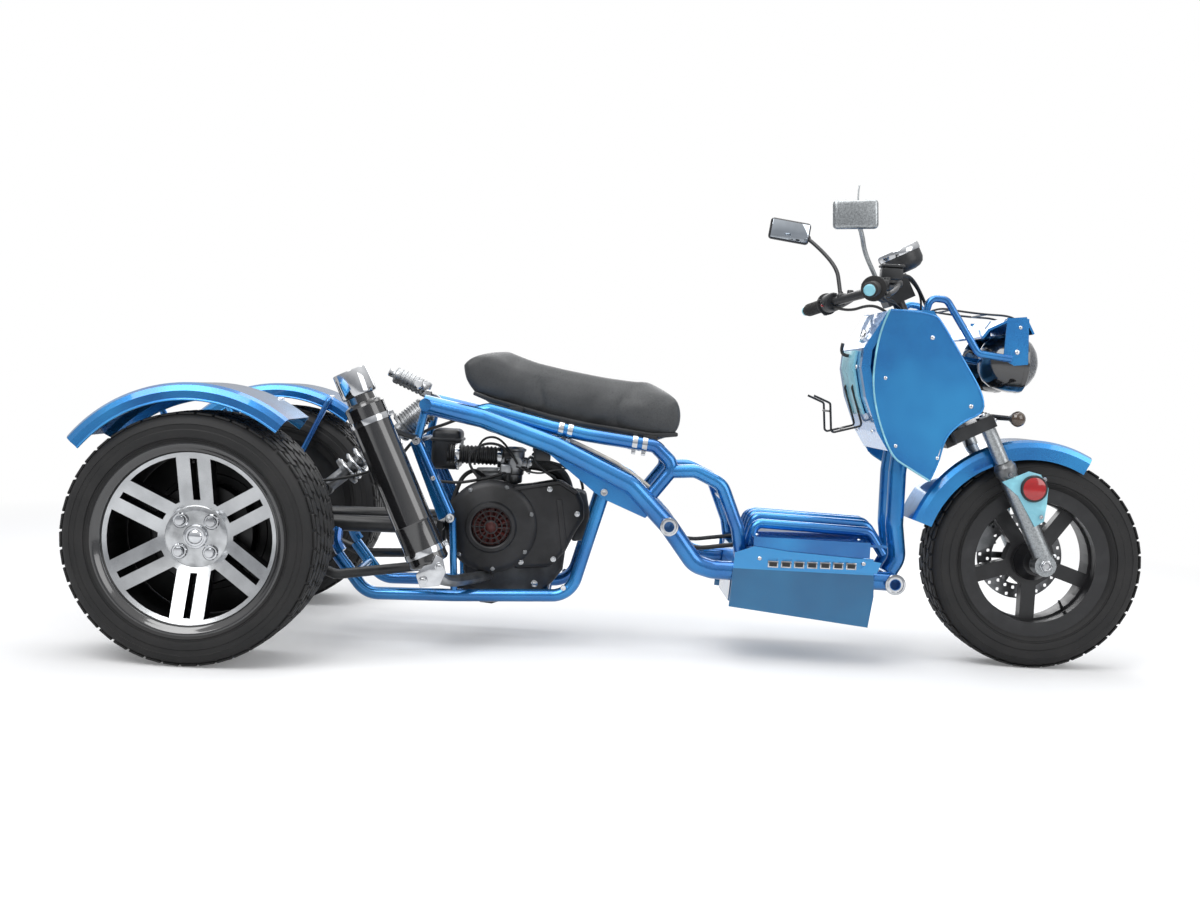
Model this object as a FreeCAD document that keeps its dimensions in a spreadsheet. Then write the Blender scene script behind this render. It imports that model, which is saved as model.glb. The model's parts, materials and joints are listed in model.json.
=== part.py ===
import FreeCAD, Part
import math
import os

# A three-wheeled scooter: one steered wheel in front, two driven wheels behind.
# Millimetres.  +X is forward, +Y is the rider's left, +Z is up.  The origin is on the
# ground, midway between the ends of the tyres.  Side-view places are given as the
# distance ahead of the rear axle and the height above the ground.

Vector = FreeCAD.Vector
Rotation = FreeCAD.Rotation
Placement = FreeCAD.Placement

SIZES = {
    "wheelbase": 1794,
    # rear wheels
    "rear_tyre_radius": 248,
    "rear_tyre_width": 235,
    "rear_bead_radius": 178,
    "rear_flange_radius": 191,
    "rear_barrel_radius": 168,
    "rear_wheel_side": 399,
    "rear_hub_recess": 64,
    "rear_disc_depth": 26,
    "rear_hub_radius": 62,
    "rear_pocket_width": 78,
    "rear_spokes": 6,
    # front wheel
    "front_tyre_radius": 243,
    "front_tyre_width": 130,
    "front_bead_radius": 165,
    "front_flange_radius": 176,
    "front_barrel_radius": 138,
    "front_rim_width": 102,
    "front_spokes": 5,
    "front_hub_radius": 44,
    "front_disc_radius": 100,
    "front_disc_thick": 4,
    "front_disc_side": 66,
    "front_axle_radius": 8,
    # frame tubes
    "rail_radius": 21,
    "rail_side": 140,
    "loop_radius": 15,
    "loop_side": 116,
    "cradle_radius": 14,
    "cradle_side": 123,
    "post_radius": 8,
    "cross_tube_length": 340,
    "peg_bore_radius": 11,
    "peg_bore_depth": 50,
    "gusset_thick": 6,
    "floor_tube_radius": 11,
    "leg_radius": 20,
    "leg_side": 42,
    "head_tube_radius": 26,
    "plate_thick": 3,
    # steering
    "rake_angle": 27,
    "steering_foot_ahead": 1615,
    "steering_foot_height": 502,
    "fork_offset": 49,
    "fork_side": 100,
    "stem_radius": 14,
    "fork_tube_radius": 16,
    "fork_leg_radius": 21,
    "bar_radius": 11,
    "grip_radius": 16,
    "grip_length": 125,
    # bodywork
    "fender_radius": 303,
    "fender_thick": 3,
    "front_fender_half_width": 75,
    "shield_side": 130,
    "seat_half_width": 122,
    "lamp_radius": 64,
    "lamp_side": 74,
    "muffler_radius": 42,
    "plate_hole_radius": 3.2,
}

doc = FreeCAD.newDocument("trike_scooter")
sheet = doc.addObject("Spreadsheet::Sheet", "sizes")
for row, (alias, value) in enumerate(SIZES.items(), start=1):
    sheet.set("A%d" % row, alias)
    sheet.set("B%d" % row, str(value))
    sheet.setAlias("B%d" % row, alias)
doc.recompute()

SUB_PARTS = []
BAD_STATES = {"Invalid", "Error"}


def size(alias):
    """One driving dimension from the sheet."""
    return float(getattr(sheet, alias))


ORIGIN_AHEAD = (size("wheelbase") + size("front_tyre_radius") - size("rear_tyre_radius")) / 2
RAKE = math.radians(size("rake_angle"))
STEER_UP = Vector(-math.sin(RAKE), 0, math.cos(RAKE))
STEER_AHEAD = Vector(math.cos(RAKE), 0, math.sin(RAKE))


def at(ahead, side, height):
    """A point from its distance ahead of the rear axle, its side and its height."""
    return Vector(ahead - ORIGIN_AHEAD, side, height)


def on_steering(along, ahead=0.0, side=0.0):
    """A point given along and ahead of the steering axis, from the axis's foot."""
    foot = at(size("steering_foot_ahead"), 0, size("steering_foot_height"))
    return foot + STEER_UP * along + STEER_AHEAD * ahead + Vector(0, side, 0)


def side_line(side, pairs):
    """A run of points in one upright lengthwise plane."""
    return [at(ahead, side, height) for ahead, height in pairs]


def mirrored(points):
    """The same points on the other side of the vehicle."""
    return [Vector(point.x, -point.y, point.z) for point in points]


def facing(direction):
    """The turn that points an object's own Z along a direction."""
    return Rotation(Vector(0, 0, 1), direction)


def sub_part(label, item):
    """Names a finished sub-part and lists it for export."""
    item.Label = label
    SUB_PARTS.append(item)
    return item


# ---- solids from primitives and booleans -----------------------------------------

def cylinder(name, start, direction, radius, length):
    """A round bar; radius and length are expressions on the sheet or plain numbers."""
    bar = doc.addObject("Part::Cylinder", name)
    bind(bar, "Radius", radius)
    bind(bar, "Height", length)
    bar.Placement = Placement(start, facing(direction))
    return bar


def cone(name, start, direction, radius_low, radius_high, length):
    """A tapered round bar."""
    bar = doc.addObject("Part::Cone", name)
    bind(bar, "Radius1", radius_low)
    bind(bar, "Radius2", radius_high)
    bind(bar, "Height", length)
    bar.Placement = Placement(start, facing(direction))
    return bar


def ball(name, centre, radius):
    """A sphere."""
    item = doc.addObject("Part::Sphere", name)
    bind(item, "Radius", radius)
    item.Placement = Placement(centre, Rotation())
    return item


def block(name, low, high):
    """A box between two opposite corners."""
    item = doc.addObject("Part::Box", name)
    item.Length = high.x - low.x
    item.Width = high.y - low.y
    item.Height = high.z - low.z
    item.Placement = Placement(low, Rotation())
    return item


def bind(item, prop, value):
    """Sets a property from a number, or binds it to the sheet by an expression."""
    if isinstance(value, str):
        item.setExpression(prop, value)
    else:
        setattr(item, prop, value)


def fused(name, items):
    """One solid from overlapping solids."""
    item = doc.addObject("Part::MultiFuse", name)
    item.Shapes = items
    return item


def cut(name, base, tools):
    """The base with the tools taken away."""
    item = doc.addObject("Part::Cut", name)
    item.Base = base
    item.Tool = tools[0] if len(tools) == 1 else grouped(name + "_tools", tools)
    return item


def grouped(name, items):
    """Solids that share a sub-part without touching."""
    item = doc.addObject("Part::Compound", name)
    item.Links = items
    return item


def bent_wire(points, bend):
    """Straight runs joined by tangent arcs of one radius."""
    edges = []
    start = points[0]
    for before, corner, after in zip(points, points[1:], points[2:]):
        into = (corner - before).normalize()
        out = (after - corner).normalize()
        half_turn = into.getAngle(out) / 2
        reach = bend * math.tan(half_turn)
        centre = corner + (out - into).normalize() * (bend / math.cos(half_turn))
        arc_start = corner - into * reach
        arc_end = corner + out * reach
        arc_middle = centre + (corner - centre).normalize() * bend
        edges.append(Part.LineSegment(start, arc_start).toShape())
        edges.append(Part.Arc(arc_start, arc_middle, arc_end).toShape())
        start = arc_end
    edges.append(Part.LineSegment(start, points[-1]).toShape())
    return Part.Wire(edges)


def tube(name, points, radius, bend=60.0):
    """A round section swept along straight runs and tangent arcs."""
    path = doc.addObject("Part::Feature", name + "_path")
    path.Shape = bent_wire(points, bend)
    section = doc.addObject("Part::Circle", name + "_section")
    bind(section, "Radius", radius)
    section.Placement = Placement(points[0], facing(points[1] - points[0]))
    sweep = doc.addObject("Part::Sweep", name)
    sweep.Sections = [section]
    sweep.Spine = (path, ["Edge%d" % (edge + 1) for edge in range(len(path.Shape.Edges))])
    sweep.Solid = True
    return sweep


# ---- PartDesign bodies --------------------------------------------------------------

def origin_plane(body, role):
    """One of a body's own origin planes."""
    return [item for item in body.Origin.OriginFeatures if item.Role == role][0]


def sketch_on(body, role, name, offset=0.0):
    """A sketch on one of the body's origin planes, moved along its normal."""
    sketch = body.newObject("Sketcher::SketchObject", name)
    sketch.AttachmentSupport = [(origin_plane(body, role), "")]
    sketch.MapMode = "FlatFace"
    sketch.AttachmentOffset = Placement(Vector(0, 0, offset), Rotation())
    return sketch


def draw_outline(sketch, points):
    """A closed outline of straight lines through the points."""
    corners = [Vector(u, v, 0) for u, v in points]
    for first, second in zip(corners, corners[1:] + corners[:1]):
        sketch.addGeometry(Part.LineSegment(first, second), False)


def side_plate(name, outline, side_low, thick):
    """A plate in an upright lengthwise plane; the outline is ahead and height pairs."""
    body = doc.addObject("PartDesign::Body", name)
    sketch = sketch_on(body, "XZ_Plane", name + "_outline")
    draw_outline(sketch, [(ahead - ORIGIN_AHEAD, height) for ahead, height in outline])
    pad = body.newObject("PartDesign::Pad", name + "_pad")
    pad.Profile = sketch
    bind(pad, "Length", thick)
    pad.Reversed = True
    body.Placement = Placement(Vector(0, side_low, 0), Rotation())
    return body


def revolved(name, outline, axis_point, spokes=None):
    """A body turned about a sideways axle; the outline is radius and side pairs."""
    body = doc.addObject("PartDesign::Body", name)
    sketch = sketch_on(body, "XY_Plane", name + "_profile")
    draw_outline(sketch, outline)
    turn = body.newObject("PartDesign::Revolution", name + "_turn")
    turn.Profile = sketch
    turn.ReferenceAxis = (sketch, ["V_Axis"])
    turn.Angle = 360
    if spokes is not None:
        spokes(body)
    body.Placement = Placement(axis_point, Rotation())
    return body


# ---- wheels -------------------------------------------------------------------------

def tyre_outline(outer, bead, width, rim_width):
    """Half section of a tyre: flat tread, round shoulders, bulged walls, open inside."""
    half = width / 2
    rim_half = rim_width / 2
    wall = 11.0
    shoulder = 0.16 * width
    rise = outer - bead
    right = [
        (bead, rim_half - 14),
        (bead, rim_half),
        (bead + 13.5, rim_half),
        (bead + 0.26 * rise, half - 3),
        (bead + 0.50 * rise, half),
        (outer - 0.55 * shoulder, half - 0.12 * shoulder),
        (outer - 0.16 * shoulder, half - 0.50 * shoulder),
        (outer, half - 1.15 * shoulder),
    ]
    inner = [
        (outer - wall, half - 1.3 * shoulder),
        (outer - 1.1 * shoulder, half - wall - 2),
        (bead + 0.3 * rise, half - wall - 3),
        (bead + 0.12 * rise, rim_half - 14),
    ]
    left = [(radius, -side) for radius, side in reversed(right)]
    inner_left = [(radius, -side) for radius, side in inner]
    return right + left + inner_left[::-1] + inner


def tyre(name, outer, bead, width, rim_width, axle):
    """One tyre as a hollow ring."""
    return revolved(name, tyre_outline(outer, bead, width, rim_width), axle)


def lengthwise_cutter(body, name, outline_points, through, count):
    """Cuts one opening through a turned disc, then repeats it round the axle."""
    sketch = sketch_on(body, "XZ_Plane", name + "_outline")
    draw_outline(sketch, outline_points)
    pocket = body.newObject("PartDesign::Pocket", name)
    pocket.Profile = sketch
    pocket.Midplane = True
    pocket.Length = through
    body.Tip = pocket
    pattern = body.newObject("PartDesign::PolarPattern", name + "_pattern")
    pattern.Originals = [pocket]
    pattern.Axis = (origin_axis(body, "Y_Axis"), [""])
    pattern.Angle = 360
    bind(pattern, "Occurrences", count)
    body.Tip = pattern
    return pattern


def origin_axis(body, role):
    """One of a body's own origin axes."""
    return [item for item in body.Origin.OriginFeatures if item.Role == role][0]


def polar(radius, degrees):
    """A point of a face-on wheel outline."""
    return (radius * math.cos(math.radians(degrees)), radius * math.sin(math.radians(degrees)))


def window_outline(inner, outer, half_spoke, spokes, turned=0.0):
    """The opening between two straight-sided spokes, centred on one angle."""
    half_gap = 180.0 / spokes
    low = half_gap - math.degrees(math.asin(half_spoke / inner))
    high = half_gap - math.degrees(math.asin(half_spoke / outer))
    points = [polar(inner, turned - low), polar(outer, turned - high)]
    points += [polar(outer, turned - high + 2 * high * step / 6) for step in range(1, 6)]
    points += [polar(outer, turned + high), polar(inner, turned + low)]
    return points


def slot_outline(inner, outer, half_width, turned):
    """A straight slot along one spoke."""
    along = Vector(*polar(1.0, turned), 0)
    across = Vector(-along.y, along.x, 0)
    corners = [
        along * inner - across * half_width,
        along * outer - across * half_width,
        along * outer + across * half_width,
        along * inner + across * half_width,
    ]
    return [(corner.x, corner.y) for corner in corners]


# ---- wheels -------------------------------------------------------------------------

REAR_AXLE_HEIGHT = size("rear_tyre_radius")
FRONT_AXLE = at(size("wheelbase"), 0, size("front_tyre_radius"))


def rear_rim(name, side_sign):
    """A deep alloy rim with split spokes, its hub boss and its stub shaft."""
    barrel = size("rear_barrel_radius")
    bead = size("rear_bead_radius") - 0.5
    flange = size("rear_flange_radius")
    edge = size("rear_tyre_width") / 2 - 11
    face = edge - size("rear_hub_recess")
    back = face - size("rear_disc_depth")
    hub = size("rear_hub_radius")
    outline = [
        (0, -150), (14, -150), (14, -93), (45, -93), (45, back), (hub, back),
        (barrel, back + 30), (barrel, -edge + 6), (flange - 8, -edge), (flange, -edge),
        (flange, -edge + 6), (bead, -edge + 10), (bead, edge - 10), (flange, edge - 6),
        (flange, edge), (flange - 6, edge + 2), (barrel, edge - 14), (hub, face), (0, face),
    ]

    def spokes(body):
        """Six wide windows and a slot that splits each spoke in two."""
        window = window_outline(hub + 12, barrel - 8, size("rear_pocket_width") / 2 - 6, 6)
        lengthwise_cutter(body, name + "_windows", window, 400, "sizes.rear_spokes")
        slot = slot_outline(hub + 10, barrel - 12, 7, 30)
        lengthwise_cutter(body, name + "_slots", slot, 400, "sizes.rear_spokes")

    body = revolved(name, outline, Vector(), spokes)
    turned = Rotation() if side_sign > 0 else Rotation(Vector(0, 0, 1), 180)
    centre = at(0, side_sign * size("rear_wheel_side"), REAR_AXLE_HEIGHT)
    body.Placement = Placement(centre, turned)
    return sub_part(name, body)


def rear_wheels():
    """Both driven wheels: a wide tyre on a rim with a stub shaft."""
    for side_name, side_sign in (("left", 1), ("right", -1)):
        centre = at(0, side_sign * size("rear_wheel_side"), REAR_AXLE_HEIGHT)
        ring = tyre("rear_tyre_" + side_name, size("rear_tyre_radius"), size("rear_bead_radius"),
                    size("rear_tyre_width"), 191, centre)
        sub_part("rear_tyre_" + side_name, ring)
        rear_rim("rear_rim_" + side_name, side_sign)


def front_wheel():
    """The steered wheel: tyre, five-spoke rim and the disc of its brake."""
    ring = tyre("front_tyre", size("front_tyre_radius"), size("front_bead_radius"),
                size("front_tyre_width"), 84, FRONT_AXLE)
    sub_part("front_tyre", ring)
    barrel = size("front_barrel_radius")
    bead = size("front_bead_radius") - 0.5
    flange = size("front_flange_radius")
    half = size("front_rim_width") / 2
    bore = size("front_axle_radius") + 0.06
    hub = size("front_hub_radius")
    outline = [
        (bore, -56), (30, -56), (hub, -30), (hub, -14), (barrel, -14), (barrel, -half),
        (flange, -half), (flange, -half + 5), (bead, -half + 8), (bead, half - 8),
        (flange, half - 5), (flange, half), (barrel, half), (barrel, 14), (hub, 14),
        (hub, 30), (30, 66), (bore, 66),
    ]

    def spokes(body):
        """Five open windows."""
        window = window_outline(hub + 16, barrel - 4, 17, 5, 90)
        lengthwise_cutter(body, "front_windows", window, 60, "sizes.front_spokes")

    rim = revolved("front_rim", outline, FRONT_AXLE, spokes)
    sub_part("front_rim", rim)
    side = size("front_disc_side")
    plate = cylinder("disc_plate", FRONT_AXLE + Vector(0, side, 0), Vector(0, 1, 0),
                     "sizes.front_disc_radius", "sizes.front_disc_thick")
    hole = cylinder("disc_hole", FRONT_AXLE + Vector(0, side - 10, 0), Vector(0, 1, 0), 26, 20)
    sub_part("front_disc", cut("front_disc", plate, [hole]))


# ---- frame --------------------------------------------------------------------------

RAIL_ROUTE = [(400, 527), (530, 503), (690, 452), (862, 376), (949, 290), (1012, 209),
              (1050, 199), (1447, 193)]
GUSSET = [(655, 452), (782, 355), (806, 340), (897, 304), (915, 325), (880, 366), (735, 440)]
REAR_BAR = (405, 526)
MIDDLE_TUBE = (949, 290)
FRONT_TUBE = (1450, 190)


def cross_tube(name, place, radius, half_length):
    """A straight tube across the frame."""
    return cylinder(name, at(place[0], -half_length, place[1]), Vector(0, 1, 0), radius,
                    2 * half_length)


def main_rails(crossing):
    """The two heavy side rails, each with the plate that hangs the engine."""
    for side_name, side_sign in (("left", 1), ("right", -1)):
        side = side_sign * size("rail_side")
        rail = tube("rail_" + side_name, side_line(side, RAIL_ROUTE), "sizes.rail_radius", 45)
        plate = side_plate("gusset_" + side_name, GUSSET, side - size("gusset_thick") / 2,
                           "sizes.gusset_thick")
        whole = fused("rail_and_gusset_" + side_name, [rail, plate])
        sub_part("main_rail_" + side_name, cut("main_rail_" + side_name, whole, crossing))


def cross_tubes():
    """The tubes across the frame; two have open ends that take a peg."""
    half = size("cross_tube_length") / 2
    rear = cross_tube("rear_bar", REAR_BAR, 14, size("rail_side") + 6)
    tubes = [rear]
    for name, place, radius in (("middle", MIDDLE_TUBE, 19), ("front", FRONT_TUBE, 21)):
        whole = cross_tube(name + "_tube", place, radius, half)
        bores = []
        for side_sign in (1, -1):
            mouth = at(place[0], side_sign * (half + 1), place[1])
            bores.append(cylinder("%s_bore_%d" % (name, side_sign), mouth,
                                  Vector(0, -side_sign, 0), "sizes.peg_bore_radius",
                                  "sizes.peg_bore_depth + 1"))
        tubes.append(cut(name + "_cross_tube", whole, bores))
    sub_part("cross_tubes", grouped("cross_tubes", tubes))
    solid_rods = [
        cross_tube("rear_cutter", REAR_BAR, 14, 200),
        cross_tube("middle_cutter", MIDDLE_TUBE, 19, 200),
        cross_tube("front_cutter", FRONT_TUBE, 21, 200),
    ]
    return solid_rods


SEAT_RAIL_ROUTE = [(505, 512), (540, 522), (680, 491), (760, 478), (912, 462), (958, 420),
                   (900, 342)]
LOOP_ROUTE = [(952, 408), (1004, 412), (1064, 385), (1104, 290), (1118, 212)]


def upper_frame():
    """The tubes that carry the seat and the knee loops, joined by three cross bars."""
    side = size("loop_side")
    tubes = []
    for side_sign in (1, -1):
        route = side_line(side_sign * side, SEAT_RAIL_ROUTE)
        tubes.append(tube("seat_rail_%d" % side_sign, route, "sizes.loop_radius", 26))
        route = side_line(side_sign * side, LOOP_ROUTE)
        tubes.append(tube("knee_loop_%d" % side_sign, route, "sizes.loop_radius", 40))
    for number, place in enumerate([(590, 511), (860, 467), (1078, 352)]):
        tubes.append(cross_tube("upper_bar_%d" % number, place, 9, side))
    return fused("upper_tubes", tubes)


def rail_cutters():
    """Plain copies of the side rails, to cope other tubes against them."""
    cutters = []
    for side_sign in (1, -1):
        route = side_line(side_sign * size("rail_side"), RAIL_ROUTE)
        cutters.append(tube("rail_cutter_%d" % side_sign, route, "sizes.rail_radius", 45))
    return cutters


CRADLE_ROUTE = [(806, 362), (742, 122), (480, 109), (292, 104), (226, 186)]
STRUT_LOW = (470, 281)
STRUT_TOP = (388, 446)
STRUT_RADIUS = 10


def strut(name, side):
    """The slanting strut at one side of the cradle."""
    low = at(STRUT_LOW[0], side, STRUT_LOW[1])
    top = at(STRUT_TOP[0], side, STRUT_TOP[1])
    return cylinder(name, low, top - low, STRUT_RADIUS, (top - low).Length)


def engine_cradle():
    """The loop of tube under the engine, its posts, its struts and two cross bars."""
    side = size("cradle_side")
    pieces = []
    for side_sign in (1, -1):
        route = side_line(side_sign * side, CRADLE_ROUTE)
        pieces.append(tube("cradle_%d" % side_sign, route, "sizes.cradle_radius", 55))
        foot = at(486, side_sign * side, 109)
        top = at(474, side_sign * side, 281)
        length = (top - foot).Length
        pieces.append(cylinder("post_%d" % side_sign, foot, top - foot, "sizes.post_radius", length))
        pieces.append(strut("strut_%d" % side_sign, side_sign * side))
        hanger_low = at(STRUT_TOP[0], side_sign * side, STRUT_TOP[1])
        hanger_top = at(402, side_sign * side, 514)
        pieces.append(cylinder("hanger_%d" % side_sign, hanger_low, hanger_top - hanger_low, 9,
                               (hanger_top - hanger_low).Length))
    for number, place in enumerate([(690, 120), (262, 142), STRUT_TOP]):
        pieces.append(cross_tube("cradle_bar_%d" % number, place, 9, side))
    return fused("cradle_tubes", pieces)


def floorboard():
    """Lengthwise foot tubes over a shallow pan."""
    pan = block("floor_pan", at(1136, -163, 244), at(1392, 163, 278))
    pieces = [pan]
    for number, (side, height) in enumerate([(20, 318), (58, 314), (92, 302)]):
        for side_sign in (1, -1):
            route = side_line(side_sign * side, [(1134, height - 50), (1146, height),
                                                 (1402, height - 7), (1436, height - 56)])
            pieces.append(tube("floor_tube_%d_%d" % (number, side_sign), route,
                               "sizes.floor_tube_radius", 20))
    pieces.append(block("floor_front_strap", at(1380, -104, 262), at(1442, 104, 268)))
    pieces.append(block("floor_rear_strap", at(1130, -98, 250), at(1140, 98, 262)))
    sub_part("floorboard", fused("floorboard", pieces))


SKIRT = [(1096, 243), (1089, 123), (1396, 92), (1405, 161), (1400, 243)]
SLOT_PLATE = [(1098, 243), (1138, 258), (1215, 250), (1362, 243), (1417, 236), (1408, 212),
              (1158, 214)]


def side_skirts():
    """Outer plates beside the floor, each with a row of plain slots above it."""
    thick = size("plate_thick")
    pieces = []
    for side_sign in (1, -1):
        skirt_low = 163 if side_sign > 0 else -163 - thick
        pieces.append(side_plate("skirt_%d" % side_sign, SKIRT, skirt_low, "sizes.plate_thick"))
        plate_low = skirt_low + side_sign * thick
        plate = side_plate("slot_plate_%d" % side_sign, SLOT_PLATE, plate_low, "sizes.plate_thick")
        slots = []
        for number in range(7):
            left = 1168 + number * 31
            slots.append(block("slot_%d_%d" % (side_sign, number), at(left, plate_low - 1, 222),
                               at(left + 22, plate_low + thick + 1, 234)))
        pieces.append(cut("slotted_plate_%d" % side_sign, plate, slots))
    left_side = fused("skirt_left", pieces[:2])
    right_side = fused("skirt_right", pieces[2:])
    sub_part("side_skirts", grouped("side_skirts", [left_side, right_side]))


def battery_box():
    """The closed box hung under the floor between the rails."""
    outline = [(1101, 243.9), (1094, 126), (1391, 96), (1397, 165), (1391, 243.9)]
    sub_part("battery_box", side_plate("battery_box", outline, -100, 200))


def lamp_arm(name, radius):
    """The bar that carries the lamps ahead of the steering head."""
    root = on_steering(226, 10)
    tip = at(1648.7, 0, 690)
    return cylinder(name, root, tip - root, radius, (tip - root).Length)


def front_frame(crossing):
    """Two front legs that rise from the floor to the steering head."""
    pieces = []
    for side_sign in (1, -1):
        route = side_line(side_sign * size("leg_side"),
                          [(1455, 190), (1480, 235), (1469, 310), (1468, 430), (1484, 620), (1497, 738)])
        pieces.append(tube("leg_%d" % side_sign, route, "sizes.leg_radius", 45))
    pieces.append(cylinder("head_tube", on_steering(62), STEER_UP, "sizes.head_tube_radius", 236))
    for number, place in enumerate([(1476, 520), (1490, 690)]):
        pieces.append(cross_tube("leg_bar_%d" % number, place, 10, size("leg_side")))
    pieces.append(lamp_arm("lamp_arm", 7))
    whole = fused("front_frame_tubes", pieces)
    bore = cylinder("head_bore", on_steering(50), STEER_UP, "sizes.stem_radius + 0.06", 260)
    sub_part("front_frame", cut("front_frame", whole, [bore, crossing]))


# ---- engine and drive ---------------------------------------------------------------

def engine():
    """The engine as one plain block, with the sump below it."""
    body = block("engine_block", at(492, -60, 132), at(736, 104, 372))
    sump = block("engine_sump", at(500, -60, 94), at(660, 70, 132))
    sub_part("engine", fused("engine", [body, sump]))


def engine_cover():
    """The round fan cover on the engine's right, with the duct that leads to the head."""
    centre = at(558, -60, 262)
    drum = cylinder("fan_drum", centre, Vector(0, -1, 0), 96, 34)
    dome = cone("fan_dome", centre + Vector(0, -34, 0), Vector(0, -1, 0), 96, 52, 12)
    duct = side_plate("fan_duct", [(560, 345), (706, 384), (764, 342), (768, 292), (740, 250), (700, 190),
                                   (600, 170)], -88, 28)
    sub_part("engine_cover", fused("engine_cover", [drum, dome, duct]))


def intake():
    """The air duct and the carburettor behind the cylinder."""
    duct = cylinder("air_duct", at(440, -20, 416), Vector(1, 0, 0), 22, 150)
    body = cylinder("carburettor", at(600, -20, 374), Vector(0, 0, 1), 24, 66)
    box = block("air_box", at(410, 0, 380), at(470, 100, 470))
    sub_part("intake", fused("intake", [duct, body, box]))


MUFFLER_LOW = (445, 193)
MUFFLER_TOP = (287, 524)
MUFFLER_SIDE = -262


def exhaust():
    """The muffler can with its square-cut tip, and the pipe that feeds it."""
    low = at(MUFFLER_LOW[0], MUFFLER_SIDE, MUFFLER_LOW[1])
    top = at(MUFFLER_TOP[0], MUFFLER_SIDE, MUFFLER_TOP[1])
    along = (top - low).normalize()
    can = cylinder("muffler_can", low, along, "sizes.muffler_radius", (top - low).Length)
    neck = cylinder("muffler_neck", top, along, 30, 22)
    tip = cylinder("muffler_tip", top + along * 16, along, 37, 56)
    bore = cylinder("muffler_tip_bore", top + along * 34, along, 31, 60)
    pipe = tube("exhaust_pipe", [at(575, -50, 149), at(505, -160, 151), at(464, -244, 154),
                                 low + along * 10], 12, 22)
    whole = fused("exhaust_whole", [can, neck, tip, pipe])
    block_cutter = block("exhaust_cutter", at(492, -60, 132), at(736, 104, 372))
    sub_part("exhaust", cut("exhaust", whole, [bore, block_cutter]))


def rear_carrier(crossing):
    """Axle housing, final drive, trailing arms and the lug for the spring."""
    axle = at(0, 0, REAR_AXLE_HEIGHT)
    housing = cylinder("axle_housing", axle + Vector(0, -300, 0), Vector(0, 1, 0), 32, 600)
    drive = cylinder("final_drive", axle + Vector(0, -50, 0), Vector(0, 1, 0), 78, 100)
    pieces = [housing, drive]
    for side_sign in (1, -1):
        arm_start = at(0, side_sign * 104, 250)
        arm_end = at(440, side_sign * 104, 258)
        pieces.append(cylinder("arm_%d" % side_sign, arm_start, arm_end - arm_start, 18,
                               (arm_end - arm_start).Length))
        brace = [at(10, side_sign * 200, 240), at(236, side_sign * 196, 152), at(428, side_sign * 112, 172),
                 at(434, side_sign * 104, 250)]
        pieces.append(tube("brace_%d" % side_sign, brace, 11, 26))
        lug_end = at(172, side_sign * 24, 322)
        lug_start = at(30, side_sign * 24, 276)
        pieces.append(cylinder("lug_arm_%d" % side_sign, lug_start, lug_end - lug_start, 9,
                               (lug_end - lug_start).Length))
    pieces.append(cross_tube("pivot_bar", (440, 258), 14, 116))
    pieces.append(cross_tube("lug_bar", (172, 322), 8, 30))
    whole = fused("carrier_whole", pieces)
    bores = [cylinder("shaft_bore_%d" % side_sign, axle + Vector(0, side_sign * 305, 0),
                      Vector(0, -side_sign, 0), 14.06, 67) for side_sign in (1, -1)]
    sub_part("rear_carrier", cut("rear_carrier", whole, bores + crossing))


def shock_absorber(crossing):
    """The central spring and damper, with its side reservoir."""
    top = at(REAR_BAR[0], 0, REAR_BAR[1])
    low = at(172, 0, 322)
    along = (low - top).normalize()
    reach = (low - top).Length
    eye_top = cylinder("eye_top", top + Vector(0, -14, 0), Vector(0, 1, 0), 22, 28)
    eye_low = cylinder("eye_low", low + Vector(0, -14, 0), Vector(0, 1, 0), 16, 28)
    damper = cylinder("damper", top, along, 16, reach)
    upper_can = cylinder("upper_can", top + along * 18, along, 30, 60)
    spring = cylinder("spring_coil", top + along * 78, along, 34, 160)
    reservoir = cylinder("reservoir", at(318, 0, 588), at(404, 0, 552) - at(318, 0, 588), 19, 84)
    whole = fused("shock_whole", [eye_top, eye_low, damper, upper_can, spring, reservoir])
    lug_cutter = cross_tube("lug_cutter", (172, 322), 8, 60)
    sub_part("shock_absorber", cut("shock_absorber", whole, [lug_cutter] + crossing))


# ---- fenders, seat and lamps --------------------------------------------------------

def arched(name, centre, outer, half_width, lip_radius, thick, start_angle, end_angle):
    """An arched shell over a wheel with a turned-down lip on each side."""
    body = doc.addObject("PartDesign::Body", name)
    sketch = sketch_on(body, "XY_Plane", name + "_profile")
    inner = outer - thick
    outline = [
        (lip_radius, -half_width), (outer - 16, -half_width), (outer - 5, -half_width + 5),
        (outer, -half_width + 16), (outer, half_width - 16), (outer - 5, half_width - 5),
        (outer - 16, half_width), (lip_radius, half_width), (lip_radius, half_width - thick),
        (outer - 17, half_width - thick), (inner, half_width - 17), (inner, -half_width + 17),
        (outer - 17, -half_width + thick), (lip_radius, -half_width + thick),
    ]
    draw_outline(sketch, outline)
    turn = body.newObject("PartDesign::Revolution", name + "_turn")
    turn.Profile = sketch
    turn.ReferenceAxis = (sketch, ["V_Axis"])
    turn.Angle = end_angle - start_angle
    body.Placement = Placement(centre, Rotation(Vector(0, 1, 0), -end_angle))
    return body


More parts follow.
